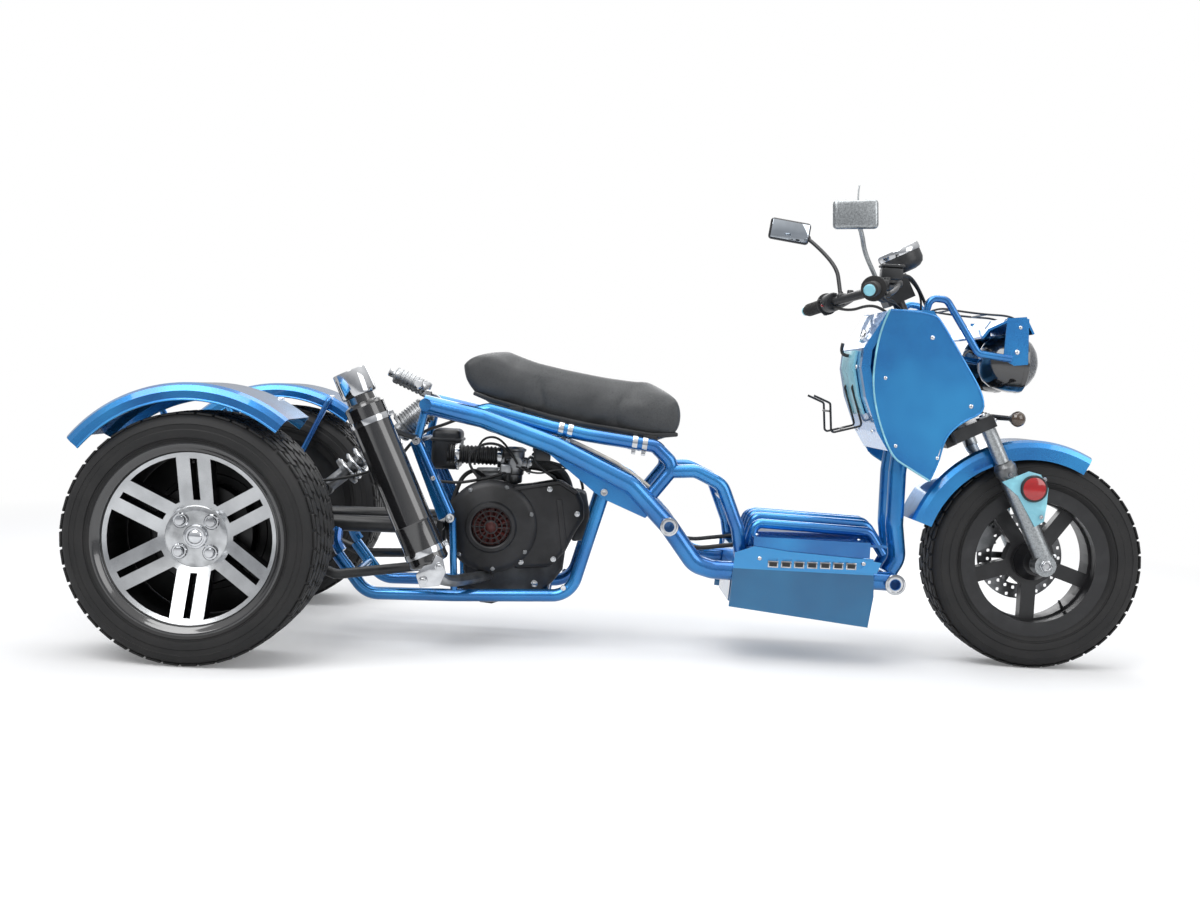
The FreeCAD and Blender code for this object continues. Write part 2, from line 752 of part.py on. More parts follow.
def rear_fenders():
    """An arched fender over each driven wheel, on two stays from the axle."""
    for side_name, side_sign in (("left", 1), ("right", -1)):
        side = side_sign * size("rear_wheel_side")
        arch = arched("arch_" + side_name, at(0, side, REAR_AXLE_HEIGHT), size("fender_radius"),
                      size("rear_tyre_width") / 2, 270, size("fender_thick"), 53, 142)
        pieces = [arch]
        for number, angle in enumerate((66, 118)):
            root = at(0, side_sign * 262, REAR_AXLE_HEIGHT)
            root += Vector(28 * math.cos(math.radians(angle)), 0, 28 * math.sin(math.radians(angle)))
            tip = at(0, side_sign * 272, REAR_AXLE_HEIGHT)
            tip += Vector(296 * math.cos(math.radians(angle)), 0, 296 * math.sin(math.radians(angle)))
            head = tip + Vector(0, side_sign * 26, 0)
            pieces.append(tube("stay_%s_%d" % (side_name, number), [root, tip, head], 7, 8.5))
        whole = fused("fender_whole_" + side_name, pieces)
        housing = cylinder("fender_cutter_" + side_name, at(0, -300, REAR_AXLE_HEIGHT),
                           Vector(0, 1, 0), 32, 600)
        sub_part("fender_" + side_name, cut("fender_" + side_name, whole, [housing]))


def tail_lamp():
    """The rear lamp and the blank plate below it, on an arm from the axle housing."""
    arm = tube("tail_arm", [at(-70, 0, 262), at(-170, 0, 290), at(-196, 0, 420)], 10, 40)
    lamp = block("tail_lens", at(-222, -60, 400), at(-182, 60, 440))
    plate = block("plate_holder", at(-212, -90, 286), at(-196, 90, 396))
    whole = fused("tail_whole", [arm, lamp, plate])
    tools = [cylinder("tail_cutter", at(0, -50, REAR_AXLE_HEIGHT), Vector(0, 1, 0), 78, 100)]
    for side_sign in (1, -1):
        tools.append(cylinder("plate_hole_%d" % side_sign, at(-230, side_sign * 73, 380),
                              Vector(1, 0, 0), "sizes.plate_hole_radius", 40))
    sub_part("tail_lamp", cut("tail_lamp", whole, tools))


SEAT_OUTLINE = [(461, 631), (479, 646), (507, 652), (541, 645), (585, 628), (633, 614), (696, 603),
                (792, 590), (864, 584), (921, 587), (950, 582), (975, 564), (985, 536), (985, 505),
                (972, 484), (905, 481), (754, 498), (677, 511), (545, 541), (492, 558), (468, 598)]


def seat():
    """The long saddle as one plain solid."""
    half = size("seat_half_width")
    sub_part("seat", side_plate("seat", SEAT_OUTLINE, -half, 2 * half))


SHIELD_SIDE = [(1410, 792), (1505, 793), (1529, 763), (1620, 625), (1631, 590), (1624, 572),
               (1590, 557), (1563, 535), (1545, 506), (1536, 478), (1535, 452), (1520, 419),
               (1463, 450), (1434, 468), (1404, 531), (1384, 600), (1379, 660), (1390, 748)]


def shield():
    """The leg shield: two side panels, the panel facing the rider and the front panel."""
    side = size("shield_side")
    thick = size("plate_thick")
    panels = [side_plate("shield_left", SHIELD_SIDE, side - thick, "sizes.plate_thick"),
              side_plate("shield_right", SHIELD_SIDE, -side, "sizes.plate_thick")]
    sub_part("shield_sides", grouped("shield_sides", panels))
    inner = [(1405, 788), (1384, 750), (1357, 704), (1354, 660), (1368, 596), (1398, 520), (1424, 480),
             (1438, 486), (1414, 530), (1388, 600), (1374, 662), (1376, 700), (1402, 748), (1420, 788)]
    half_inner = side - thick
    inner_panel = sub_part("inner_panel", side_plate("inner_panel", inner, -half_inner, 2 * half_inner))
    front = [(1504, 788), (1612, 622), (1622, 592), (1618, 584), (1612, 590), (1604, 618), (1498, 785)]
    whole = side_plate("front_panel_whole", front, -half_inner, 2 * half_inner)
    head = cylinder("head_clearance", on_steering(50), STEER_UP, "sizes.head_tube_radius + 0.6", 270)
    sub_part("front_panel", cut("front_panel", whole, [lamp_arm("lamp_arm_hole", 7.5), head]))
    return inner_panel


GUARD_ROUTE = [(1484, 116, 762), (1499, 117, 822), (1534, 122, 819), (1604, 148, 704),
               (1676, 151.9, 696)]


def guard_bars():
    """The bent tubes beside the shield that reach forward to the lamps."""
    pieces = []
    for side_sign in (1, -1):
        route = [at(ahead, side_sign * side, height) for ahead, side, height in GUARD_ROUTE]
        pieces.append(tube("guard_%d" % side_sign, route, 8, 18))
    sub_part("guard_bars", grouped("guard_bars", pieces))


def headlamps():
    """Twin round lamps on a common bracket."""
    radius = size("lamp_radius")
    pieces = []
    outline = [(0, -62), (30, -60), (52, -46), (radius - 2, -20), (radius + 2, 8), (radius + 2, 26),
               (radius - 4, 30), (radius * 0.86, 44), (radius * 0.6, 60), (radius * 0.3, 68), (0, 70)]
    for side_sign in (1, -1):
        lamp = revolved("lamp_%d" % side_sign, outline, Vector())
        lamp.Placement = Placement(at(1690, side_sign * size("lamp_side"), 690),
                                   Rotation(Vector(0, 0, 1), -90))
        pieces.append(lamp)
    bridge = block("lamp_bridge", at(1650, -60, 678), at(1672, 60, 702))
    pieces.append(bridge)
    sub_part("headlamps", fused("headlamps", pieces))


def lamp_hood():
    """The peaked hood over the lamps, with a plate at each side."""
    sheet_line = [(1611, 742), (1624, 760), (1674, 786), (1706, 790), (1726, 754), (1722, 752),
                  (1703, 785), (1675, 781), (1628, 756), (1615, 738)]
    pieces = [side_plate("hood_sheet", sheet_line, -143.5, 287)]
    plate = [(1664, 786), (1712, 786), (1716, 686), (1686, 682), (1661, 694)]
    for side_low in (-143.5, 140.5):
        pieces.append(side_plate("hood_cheek", plate, side_low, "sizes.plate_thick"))
    sub_part("lamp_hood", fused("lamp_hood", pieces))


def cup_holder(panel):
    """A bent wire basket on the rider's side of the shield."""
    pieces = []
    for side in (-42, 42):
        route = side_line(side, [(1376, 642), (1352, 618), (1381, 531), (1312, 511), (1306, 578),
                                 (1268, 593)])
        pieces.append(tube("wire_%d" % side, route, 2.5, 7))
    pieces.append(cross_tube("wire_foot", (1345, 520.6), 2.5, 42))
    pieces.append(cross_tube("wire_lip", (1306, 560), 2.5, 42))
    sub_part("cup_holder", cut("cup_holder", fused("cup_wires", pieces), [panel]))


# ---- steering -----------------------------------------------------------------------

BAR_ROUTE = [(1312, 372, 811), (1352, 232, 827), (1434, 84, 852)]


def handlebar_tube(name):
    """The swept handlebar."""
    right = [at(ahead, -side, height) for ahead, side, height in BAR_ROUTE]
    return tube(name, right + mirrored(right)[::-1], "sizes.bar_radius", 50)


def steering_stem(bar):
    """The stem, the yoke that joins the fork legs and the clamp of the handlebar."""
    stem = cylinder("stem", on_steering(20), STEER_UP, "sizes.stem_radius", 350)
    yoke = block("yoke", Vector(-30, -119, 18), Vector(66, 119, 46))
    clamp = block("bar_clamp", Vector(-30, -34, 352), Vector(34, 34, 408))
    shroud = block("yoke_shroud", Vector(-44, -70, 10), Vector(-20, 70, 50))
    for item in (yoke, clamp, shroud):
        tilt = Rotation(Vector(0, 1, 0), -size("rake_angle"))
        item.Placement = Placement(on_steering(0), tilt).multiply(item.Placement)
    whole = fused("stem_whole", [stem, yoke, clamp, shroud])
    tools = [bar]
    for side_sign in (1, -1):
        tools.append(cylinder("yoke_hole_%d" % side_sign,
                              on_steering(-10, size("fork_offset"), side_sign * size("fork_side")),
                              STEER_UP, "sizes.fork_tube_radius", 80))
    sub_part("steering_stem", cut("steering_stem", whole, tools))


AXLE_ALONG = (FRONT_AXLE - on_steering(0)).dot(STEER_UP)


def fork_legs():
    """The two telescopic legs, each ending in the boss that holds the axle."""
    pieces = []
    for side_sign in (1, -1):
        side = side_sign * size("fork_side")
        low = on_steering(AXLE_ALONG - 14, size("fork_offset"), side)
        inner = cylinder("stanchion_%d" % side_sign, on_steering(-120, size("fork_offset"), side), STEER_UP,
                         "sizes.fork_tube_radius", 170)
        outer = cylinder("leg_tube_%d" % side_sign, low, STEER_UP, "sizes.fork_leg_radius",
                         -AXLE_ALONG + 14 - 72)
        boss_start = FRONT_AXLE + Vector(0, side - 20, 0)
        boss = cylinder("axle_boss_%d" % side_sign, boss_start, Vector(0, 1, 0), 24, 40)
        pieces += [fused("fork_leg_%d" % side_sign, [inner, outer, boss])]
    holes = [cylinder("axle_hole", FRONT_AXLE + Vector(0, -150, 0), Vector(0, 1, 0),
                      "sizes.front_axle_radius", 300)]
    legs = [cut("fork_%d" % number, piece, holes) for number, piece in enumerate(pieces)]
    sub_part("fork_legs", grouped("fork_legs", legs))
    axle = cylinder("front_axle", FRONT_AXLE + Vector(0, -128, 0), Vector(0, 1, 0),
                    "sizes.front_axle_radius", 256)
    sub_part("front_axle", axle)


def brake_caliper():
    """The caliper behind the left leg, open for the disc."""
    centre = on_steering(AXLE_ALONG + 86, -28, 0)
    shell = block("caliper_shell", Vector(-30, 56, -34), Vector(30, 92, 34))
    gap = block("caliper_gap", Vector(-60, 61, -60), Vector(60, 75, 24))
    ear = block("caliper_ear", Vector(16, 82, -20), Vector(64, 92, 20))
    for item in (shell, gap, ear):
        tilt = Rotation(Vector(0, 1, 0), -size("rake_angle"))
        item.Placement = Placement(centre, tilt).multiply(item.Placement)
    leg = cylinder("caliper_leg_cutter", on_steering(AXLE_ALONG - 14, size("fork_offset"), size("fork_side")),
                   STEER_UP, "sizes.fork_leg_radius", 300)
    sub_part("brake_caliper", cut("brake_caliper", fused("caliper_whole", [shell, ear]), [gap, leg]))


BRACKET = [(1683, 425), (1741, 452), (1768, 446), (1787, 417), (1782, 342), (1762, 329)]


def fork_brackets():
    """The flat plate with a round reflector on the outside of each leg."""
    pieces = []
    for side_name, side_sign in (("left", 1), ("right", -1)):
        inner_face = size("fork_side") + size("fork_leg_radius")
        low = inner_face if side_sign > 0 else -inner_face - size("plate_thick")
        plate = side_plate("bracket_" + side_name, BRACKET, low, "sizes.plate_thick")
        face = at(1754, side_sign * (inner_face + 2), 414)
        lens = cylinder("reflector_" + side_name, face, Vector(0, side_sign, 0), 28, 11)
        pieces.append(fused("plate_and_reflector_" + side_name, [plate, lens]))
    sub_part("fork_brackets", grouped("fork_brackets", pieces))


def front_fender():
    """The fender that turns with the fork, notched where the legs pass."""
    centre = at(1770, 0, 240)
    shell = arched("fender_shell", centre, 280, size("front_fender_half_width"), 236,
                   size("fender_thick"), 62, 162)
    bridge = block("fender_bridge", Vector(-8, -100, -64), Vector(30, 100, -58))
    tilt = Rotation(Vector(0, 1, 0), -size("rake_angle"))
    bridge.Placement = Placement(on_steering(0), tilt).multiply(bridge.Placement)
    tools = []
    for side_sign in (1, -1):
        tools.append(cylinder("leg_clearance_%d" % side_sign,
                              on_steering(AXLE_ALONG, size("fork_offset"), side_sign * size("fork_side")),
                              STEER_UP, "sizes.fork_leg_radius + 1", 400))
    sub_part("front_fender", cut("front_fender", fused("fender_and_bridge", [shell, bridge]), tools))


def grips(bar):
    """Rubber grips with a flange and the switch housing inboard of each."""
    pieces = []
    for side_name, side_sign in (("left", 1), ("right", -1)):
        tip = at(BAR_ROUTE[0][0], side_sign * BAR_ROUTE[0][1], BAR_ROUTE[0][2])
        root = at(BAR_ROUTE[1][0], side_sign * BAR_ROUTE[1][1], BAR_ROUTE[1][2])
        inward = (root - tip).normalize()
        start = tip - inward * 9
        grip = cylinder("grip_" + side_name, start, inward, "sizes.grip_radius", "sizes.grip_length")
        flange = cylinder("flange_" + side_name, start + inward * 100, inward, 27, 8)
        housing = cylinder("switches_" + side_name, start + inward * 108, inward, 23, 36)
        pieces.append(cut("grip_unit_" + side_name, fused("grip_whole_" + side_name,
                                                          [grip, flange, housing]), [bar]))
    sub_part("grips", grouped("grips", pieces))


def brake_levers():
    """A lever and its perch ahead of each grip."""
    pieces = []
    for side_sign in (1, -1):
        route = [at(1384, side_sign * 196, 846), at(1392, side_sign * 232, 838), at(1362, side_sign * 356, 806)]
        lever = tube("lever_%d" % side_sign, route, 5, 20)
        pieces.append(lever)
    sub_part("brake_levers", grouped("brake_levers", pieces))


def speedometer():
    """The round instrument ahead of the handlebar, its face towards the rider."""
    pod = cylinder("pod", on_steering(409, 45), STEER_UP, 47, 46)
    bezel = cylinder("bezel", on_steering(446, 45), STEER_UP, 49, 10)
    sub_part("speedometer", fused("speedometer", [pod, bezel]))


def mirror(name, bar, foot, elbow, head, low, high, turn_angle):
    """A mirror: stem, ball joint and a flat housing."""
    stem = tube(name + "_stem", [foot, elbow, head], 5, 12)
    shell = block(name + "_shell", low, high)
    centre = (low + high) * 0.5
    half = (high - low) * 0.5
    turn = Rotation(Vector(0, 1, 0), turn_angle)
    shell.Placement = Placement(centre, turn).multiply(Placement(half * -1, Rotation()))
    joint = ball(name + "_ball", head, 9)
    sub_part(name, cut(name, fused(name + "_whole", [stem, shell, joint]), [bar]))


def mirrors(bar):
    """The two mirrors, turned as the rider last left them."""
    mirror("mirror_left", bar, at(1363, 218, 832), at(1357, 236, 905), at(1284, 296, 984),
           at(1188, 284, 972), at(1290, 308, 1026), 7)
    mirror("mirror_right", bar, at(1363, -218, 832), at(1322, -240, 900), at(1296, -292, 950),
           at(1240, -312, 940), at(1334, -286, 1000), -4)


def turn_signals():
    """The two front indicators on stalks from the yoke."""
    pieces = []
    for side_sign in (1, -1):
        root = on_steering(40, 66, side_sign * 50)
        tip = at(1697, side_sign * 150, 566)
        stalk = cylinder("stalk_%d" % side_sign, root, tip - root, 6, (tip - root).Length)
        lens = ball("signal_%d" % side_sign, tip, 18)
        pieces.append(fused("signal_unit_%d" % side_sign, [stalk, lens]))
    sub_part("turn_signals", grouped("turn_signals", pieces))


def build_all():
    """Builds every sub-part, carriers first."""
    rods = cross_tubes()
    main_rails(rods)
    rails = rail_cutters()
    sub_part("upper_frame", cut("upper_frame", upper_frame(), rails + rods[1:2]))
    sub_part("engine_cradle", cut("engine_cradle", engine_cradle(), rails + rods[:1]))
    floorboard()
    side_skirts()
    battery_box()
    front_frame(rods[2])
    engine()
    engine_cover()
    intake()
    exhaust()
    cradle_side = size("cradle_side")
    rear_carrier([strut("strut_cutter_right", -cradle_side), strut("strut_cutter_left", cradle_side)])
    shock_absorber(rods[:1])
    rear_fenders()
    tail_lamp()
    seat()
    inner_panel = shield()
    guard_bars()
    headlamps()
    lamp_hood()
    cup_holder(inner_panel)
    rear_wheels()
    front_wheel()
    bar = handlebar_tube("handlebar")
    sub_part("handlebar", bar)
    steering_stem(bar)
    fork_legs()
    brake_caliper()
    fork_brackets()
    front_fender()
    grips(bar)
    brake_levers()
    speedometer()
    mirrors(bar)
    turn_signals()


def check_document():
    """Refuses any failed object or broken sub-part."""
    doc.recompute()
    for item in doc.Objects:
        if BAD_STATES & set(item.State):
            raise RuntimeError("%s: %s" % (item.Name, item.State))
    for item in SUB_PARTS:
        if item.Shape.isNull() or not item.Shape.isValid():
            raise RuntimeError("bad shape: " + item.Label)


build_all()
check_document()
os.makedirs("parts", exist_ok=True)
for item in SUB_PARTS:
    item.Shape.exportStep("parts/%s.step" % item.Label)
    print(item.Label, len(item.Shape.Solids), round(item.Shape.Volume / 1000), "cm3")
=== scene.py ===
import json
import math
import bpy
from mathutils import Matrix, Vector


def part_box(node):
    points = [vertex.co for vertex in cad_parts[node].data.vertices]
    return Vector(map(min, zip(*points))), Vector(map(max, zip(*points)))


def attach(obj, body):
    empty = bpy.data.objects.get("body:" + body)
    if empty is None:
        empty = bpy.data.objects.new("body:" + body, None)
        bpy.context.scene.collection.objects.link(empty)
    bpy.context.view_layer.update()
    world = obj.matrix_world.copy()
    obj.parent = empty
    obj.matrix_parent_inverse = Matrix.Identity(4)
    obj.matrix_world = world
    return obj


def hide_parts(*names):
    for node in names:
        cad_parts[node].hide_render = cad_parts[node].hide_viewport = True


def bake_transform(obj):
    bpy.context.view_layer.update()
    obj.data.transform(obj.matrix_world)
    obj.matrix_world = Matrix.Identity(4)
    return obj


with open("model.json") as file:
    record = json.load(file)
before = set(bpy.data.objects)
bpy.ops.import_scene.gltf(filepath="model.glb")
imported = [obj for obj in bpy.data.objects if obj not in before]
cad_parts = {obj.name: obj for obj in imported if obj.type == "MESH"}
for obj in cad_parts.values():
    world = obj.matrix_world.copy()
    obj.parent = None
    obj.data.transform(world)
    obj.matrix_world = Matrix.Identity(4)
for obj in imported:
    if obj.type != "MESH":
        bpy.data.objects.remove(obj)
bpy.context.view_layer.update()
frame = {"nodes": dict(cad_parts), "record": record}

# Metres. +X is forward, +Y is the rider's left, +Z is up.
# Side-view places are given in millimetres ahead of the rear axle and above the ground.

ORIGIN_AHEAD = 894.5
RAKE = math.radians(27)
STEER_UP = Vector((-math.sin(RAKE), 0, math.cos(RAKE)))
STEER_AHEAD = Vector((math.cos(RAKE), 0, math.sin(RAKE)))
SIDEWAYS = Vector((0, 1, 0))


def at(ahead, side, height):
    """A place in metres from millimetres ahead of the rear axle, to the left and up."""
    return Vector(((ahead - ORIGIN_AHEAD) / 1000, side / 1000, height / 1000))


STEER_FOOT = at(1615, 0, 502)
REAR_AXLE = at(0, 0, 248)
HALF_TRACK = 0.399
FRONT_AXLE = at(1794, 0, 243)


def on_steering(along, ahead=0.0, side=0.0):
    """A place that turns with the fork, from its foot along and ahead of the stem."""
    return STEER_FOOT + (STEER_UP * along + STEER_AHEAD * ahead + SIDEWAYS * side) / 1000


# ---- finishes ------------------------------------------------------------------------

class Channel:
    """One socket of a finish, so that sums on it read as plain arithmetic."""

    def __init__(self, finish, socket):
        self.finish = finish
        self.socket = socket

    def sum(self, operation, first, second):
        return self.finish.node("ShaderNodeMath", {"operation": operation}, {0: first, 1: second})

    def __add__(self, other):
        return self.sum("ADD", self, other)

    def __sub__(self, other):
        return self.sum("SUBTRACT", self, other)

    def __rsub__(self, other):
        return self.sum("SUBTRACT", other, self)

    def __mul__(self, other):
        return self.sum("MULTIPLY", self, other)

    def __gt__(self, other):
        return self.sum("GREATER_THAN", self, other)

    def __abs__(self):
        return self.sum("ABSOLUTE", self, 0.0)

    __radd__ = __add__
    __rmul__ = __mul__


def linear(red, green, blue):
    """A colour as it looks on a screen, 0 to 255, as the linear values that a shader takes."""
    values = [value / 255 for value in (red, green, blue)]
    return tuple(v / 12.92 if v <= 0.04045 else ((v + 0.055) / 1.055) ** 2.4 for v in values) + (1.0,)


class Nodes:
    """A node tree, and one way to add any node to it."""

    def __init__(self, tree):
        self.tree = tree

    def node(self, kind, settings, inputs, output=0):
        made = self.tree.nodes.new(kind)
        for label, value in settings.items():
            if label == "stops":
                while len(made.color_ramp.elements) < len(value):
                    made.color_ramp.elements.new(1.0)
                for element, (position, colour) in zip(made.color_ramp.elements, value):
                    element.position = position
                    element.color = colour
            else:
                setattr(made, label, value)
        for label, value in inputs.items():
            if isinstance(value, Channel):
                self.tree.links.new(value.socket, made.inputs[label])
            else:
                made.inputs[label].default_value = value
        return Channel(self, made.outputs[output])


class Finish(Nodes):
    """A procedural surface finish: its material and the shader that it feeds."""

    def __init__(self, name, colour, roughness, metallic=0.0, **constants):
        self.material = bpy.data.materials.new(name)
        self.material.use_nodes = True
        super().__init__(self.material.node_tree)
        self.shader = self.tree.nodes["Principled BSDF"]
        self.shader.inputs["Base Color"].default_value = colour
        self.shader.inputs["Roughness"].default_value = roughness
        self.shader.inputs["Metallic"].default_value = metallic
        for label, value in constants.items():
            self.shader.inputs[label.replace("_", " ").title().replace("Ior", "IOR")].default_value = value
        self.place = self.node("ShaderNodeTexCoord", {}, {}, "Object")

    def feed(self, label, channel):
        self.tree.links.new(channel.socket, self.shader.inputs[label])

    def noise(self, scale, detail=2.0, stretch=(1, 1, 1)):
        spread = self.node("ShaderNodeMapping", {}, {"Vector": self.place, "Scale": stretch})
        return self.node("ShaderNodeTexNoise", {}, {"Vector": spread, "Scale": scale, "Detail": detail},
                         "Fac")

    def ramp(self, value, *stops):
        stops = [(position, colour if hasattr(colour, "__len__") else (colour,) * 3 + (1,))
                 for position, colour in stops]
        return self.node("ShaderNodeValToRGB", {"stops": stops}, {"Fac": value}, "Color")

    def blend(self, share, first, second):
        return self.node("ShaderNodeMix", {"data_type": "RGBA"}, {0: share, 6: first, 7: second}, 2)

    def bump(self, height, strength, distance):
        made = self.node("ShaderNodeBump", {}, {"Height": height, "Strength": strength, "Distance": distance})
        self.feed("Normal", made)

    def axis(self, which, of=None):
        return self.node("ShaderNodeSeparateXYZ", {}, {0: of or self.place}, which)

    def facing(self, which):
        """How far the surface faces one way, from -1 to 1."""
        return self.axis(which, self.node("ShaderNodeTexCoord", {}, {}, "Normal"))


def candy_blue(name, light, deep, roughness, fold=None):
    """Metallic blue under clear lacquer: fine flake, a soft deepening, small ripples.

    Above the height of a fold, where there is one, the sheet faces more light and is paler.
    """
    paint = Finish(name, light, roughness, 0.72, coat_weight=1.0, coat_roughness=0.04)
    flake = paint.noise(1500, 3)
    drift = paint.noise(6, 2)
    share = paint.ramp(flake * 0.35 + drift * 0.65, (0.36, 0.0), (0.64, 1.0))
    colour = paint.blend(share, deep, light)
    if fold:
        # painted light: above the fold the colour is painted paler, where the sheet faces more light
        colour = paint.blend(paint.axis("Z") > fold, colour, linear(54, 150, 214))
    paint.feed("Base Color", colour)
    paint.feed("Roughness", drift * 0.10 + flake * 0.08 + (roughness - 0.09))
    paint.bump(flake + drift * 0.6, 0.08, 0.0006)
    return paint.material


def rubber(name, roughness, grain):
    """Black rubber, slightly clouded, with a fine grain."""
    skin = Finish(name, linear(26, 26, 27), roughness)
    fine = skin.noise(grain, 4)
    dust = skin.noise(14, 4)
    skin.feed("Base Color", skin.blend(skin.ramp(dust, (0.38, 0.0), (0.72, 1.0)),
                                       linear(14, 14, 15), linear(32, 31, 31)))
    skin.feed("Roughness", dust * 0.22 + (roughness - 0.1))
    skin.bump(fine, 0.25, 0.0006)
    return skin.material


def moulded(name, colour, roughness, grain=900, depth=0.0003):
    """Moulded plastic or powder coat: a fine even grain and a little rub."""
    skin = Finish(name, colour, roughness, 0.0, coat_weight=0.15, coat_roughness=0.25)
    fine = skin.noise(grain, 3)
    rub = skin.noise(22, 3)
    paler = tuple(min(1.0, c * 1.7 + 0.006) for c in colour[:3]) + (1,)
    skin.feed("Base Color", skin.blend(skin.ramp(rub, (0.5, 0.0), (0.8, 1.0)), colour, paler))
    skin.feed("Roughness", rub * 0.24 + (roughness - 0.12))
    skin.bump(fine, 0.3, depth)
    return skin.material


def bright(name, colour, roughness, scale=60, spread=0.12):
    """Bare or plated metal: fine clouding in its gloss."""
    metal = Finish(name, colour, roughness, 1.0)
    lines = metal.noise(scale, 5)
    darker = tuple(c * 0.55 for c in colour[:3]) + (1,)
    metal.feed("Base Color", metal.blend(metal.ramp(lines, (0.3, 0.0), (0.62, 1.0)), darker, colour))
    metal.feed("Roughness", lines * spread + (roughness - spread / 2))
    metal.bump(lines, 0.12, 0.0003)
    return metal.material


def cast(name, colour, metallic, roughness):
    """Cast metal with an even pebbled skin and oil-dark patches at random."""
    metal = Finish(name, colour, roughness, metallic)
    pebble = metal.noise(420, 3)
    grime = metal.noise(16, 5)
    dark = tuple(c * 0.3 for c in colour[:3]) + (1,)
    metal.feed("Base Color", metal.blend(metal.ramp(grime, (0.34, 0.0), (0.62, 1.0)), dark, colour))
    metal.feed("Roughness", grime * -0.2 + (roughness + 0.1))
    metal.bump(pebble, 0.35, 0.0007)
    return metal.material


def machined_wheel():
    """Black wheel with bright turned metal on every face that looks outwards."""
    metal = Finish("machined_wheel", linear(208, 210, 212), 0.24, 1.0)
    side = metal.axis("Y")
    outward = metal.node("ShaderNodeMath", {"operation": "SIGN"}, {0: side}) * metal.facing("Y")
    cut_face = metal.ramp(outward, (0.80, 0.0), (0.90, 1.0))
    deep = metal.ramp(abs(side), (0.4385, 0.0), (0.4395, 1.0))
    share = cut_face * deep
    rings = metal.noise(22, 3, (1, 0.02, 1))
    silver = metal.blend(metal.ramp(rings, (0.3, 0.0), (0.7, 1.0)), linear(176, 178, 180),
                         linear(204, 206, 208))
    metal.feed("Base Color", metal.blend(share, linear(13, 13, 14), silver))
    metal.feed("Roughness", share * -0.1 + (rings * 0.1 + 0.29))
    metal.feed("Metallic", share * 0.9 + 0.1)
    metal.bump(rings, 0.08, 0.0003)
    return metal.material


def seat_cover():
    """Dark grey vinyl with a small leather grain."""
    skin = Finish("seat_cover", linear(62, 64, 66), 0.5, 0.0, sheen_weight=0.12, sheen_roughness=0.5)
    cells = skin.node("ShaderNodeTexVoronoi", {"feature": "DISTANCE_TO_EDGE"},
                      {"Vector": skin.place, "Scale": 420.0}, "Distance")
    folds = skin.ramp(cells, (0.0, 0.0), (0.16, 1.0))
    cloud = skin.noise(9, 4)
    tone = skin.blend(skin.ramp(cloud, (0.3, 0.0), (0.7, 1.0)), linear(52, 54, 56), linear(76, 78, 79))
    skin.feed("Base Color", skin.blend(folds, linear(40, 41, 43), tone))
    skin.feed("Roughness", cloud * 0.16 + 0.4)
    skin.bump(folds * 0.7 + skin.noise(1400, 2) * 0.3, 0.3, 0.0006)
    return skin.material


def tinted(name, colour, roughness, alpha):
    """A clear or coloured moulded lens with faint fluting."""
    lens = Finish(name, colour, roughness, 0.0, coat_weight=1.0, coat_roughness=0.02, alpha=alpha)
    flutes = lens.noise(160, 1, (0.1, 1, 1))
    lens.feed("Base Color", lens.blend(flutes, tuple(c * 0.7 for c in colour[:3]) + (1,), colour))
    lens.bump(flutes, 0.1, 0.0006)
    return lens.material


def gloss_black():
    """Black enamel that shows its surroundings, with faint orange peel."""
    skin = Finish("gloss_black", linear(17, 17, 18), 0.16, 0.0, coat_weight=1.0, coat_roughness=0.03,
                  specular_ior_level=0.8)
    peel = skin.noise(240, 2)
    haze = skin.noise(18, 3)
    skin.feed("Base Color", skin.blend(haze, linear(12, 12, 13), linear(30, 30, 32)))
    skin.feed("Roughness", haze * 0.2 + 0.06)
    skin.bump(peel, 0.06, 0.0004)
    return skin.material


FINISHES = {
    "blue_paint": candy_blue("blue_paint", linear(44, 146, 212), linear(16, 88, 162), 0.24),
    "blue_panel": candy_blue("blue_panel", linear(54, 156, 220), linear(30, 120, 194), 0.28),
    "tyre": rubber("tyre", 0.66, 700),
    "alloy": machined_wheel(),
    "black_alloy": moulded("black_alloy", linear(24, 24, 26), 0.36, 500),
    "brake_steel": bright("brake_steel", linear(140, 141, 143), 0.34),
    "seat_cover": seat_cover(),
    "engine_metal": cast("engine_metal", linear(74, 75, 77), 0.7, 0.46),
    "black_cover": cast("black_cover", linear(40, 40, 42), 0.2, 0.42),
    "exhaust_steel": gloss_black(),
    "spring_steel": bright("spring_steel", linear(206, 208, 210), 0.18, scale=40),
    "black_steel": moulded("black_steel", linear(26, 27, 29), 0.38),
    "chrome": bright("chrome", linear(222, 224, 227), 0.09, scale=24, spread=0.06),
    "fork_metal": bright("fork_metal", linear(176, 180, 182), 0.36, scale=300),
    "grip_rubber": rubber("grip_rubber", 0.7, 1200),
    "black_plastic": moulded("black_plastic", linear(30, 31, 33), 0.44),
    "lamp_glass": tinted("lamp_glass", linear(40, 52, 66), 0.04, 0.45),
    "red_lens": tinted("red_lens", linear(178, 16, 22), 0.12, 1.0),
    "amber_lens": tinted("amber_lens", linear(70, 52, 36), 0.14, 1.0),
    "mirror_glass": bright("mirror_glass", linear(214, 222, 230), 0.03, scale=8, spread=0.02),
    "light_blue": moulded("light_blue", linear(130, 192, 208), 0.30),
    # painted light and shade: below its fold the skirt is painted a darker blue, where it faces less light,
    # and above it a paler one
    "skirt_blue": candy_blue("skirt_blue", linear(36, 112, 158), linear(24, 86, 130), 0.30, 0.2075),
    "fan_red": moulded("fan_red", linear(84, 34, 30), 0.5),
    "cable_black": moulded("cable_black", linear(18, 18, 19), 0.5),
    "dull_silver": cast("dull_silver", linear(168, 170, 172), 0.9, 0.34),
    "pale_pipe": moulded("pale_pipe", linear(196, 190, 178), 0.36),
}


# ---- modelling by hand ---------------------------------------------------------------

def take(obj):
    """Makes one object the only one selected and worked on."""
    bpy.ops.object.select_all(action="DESELECT")
    obj.select_set(True)
    bpy.context.view_layer.objects.active = obj


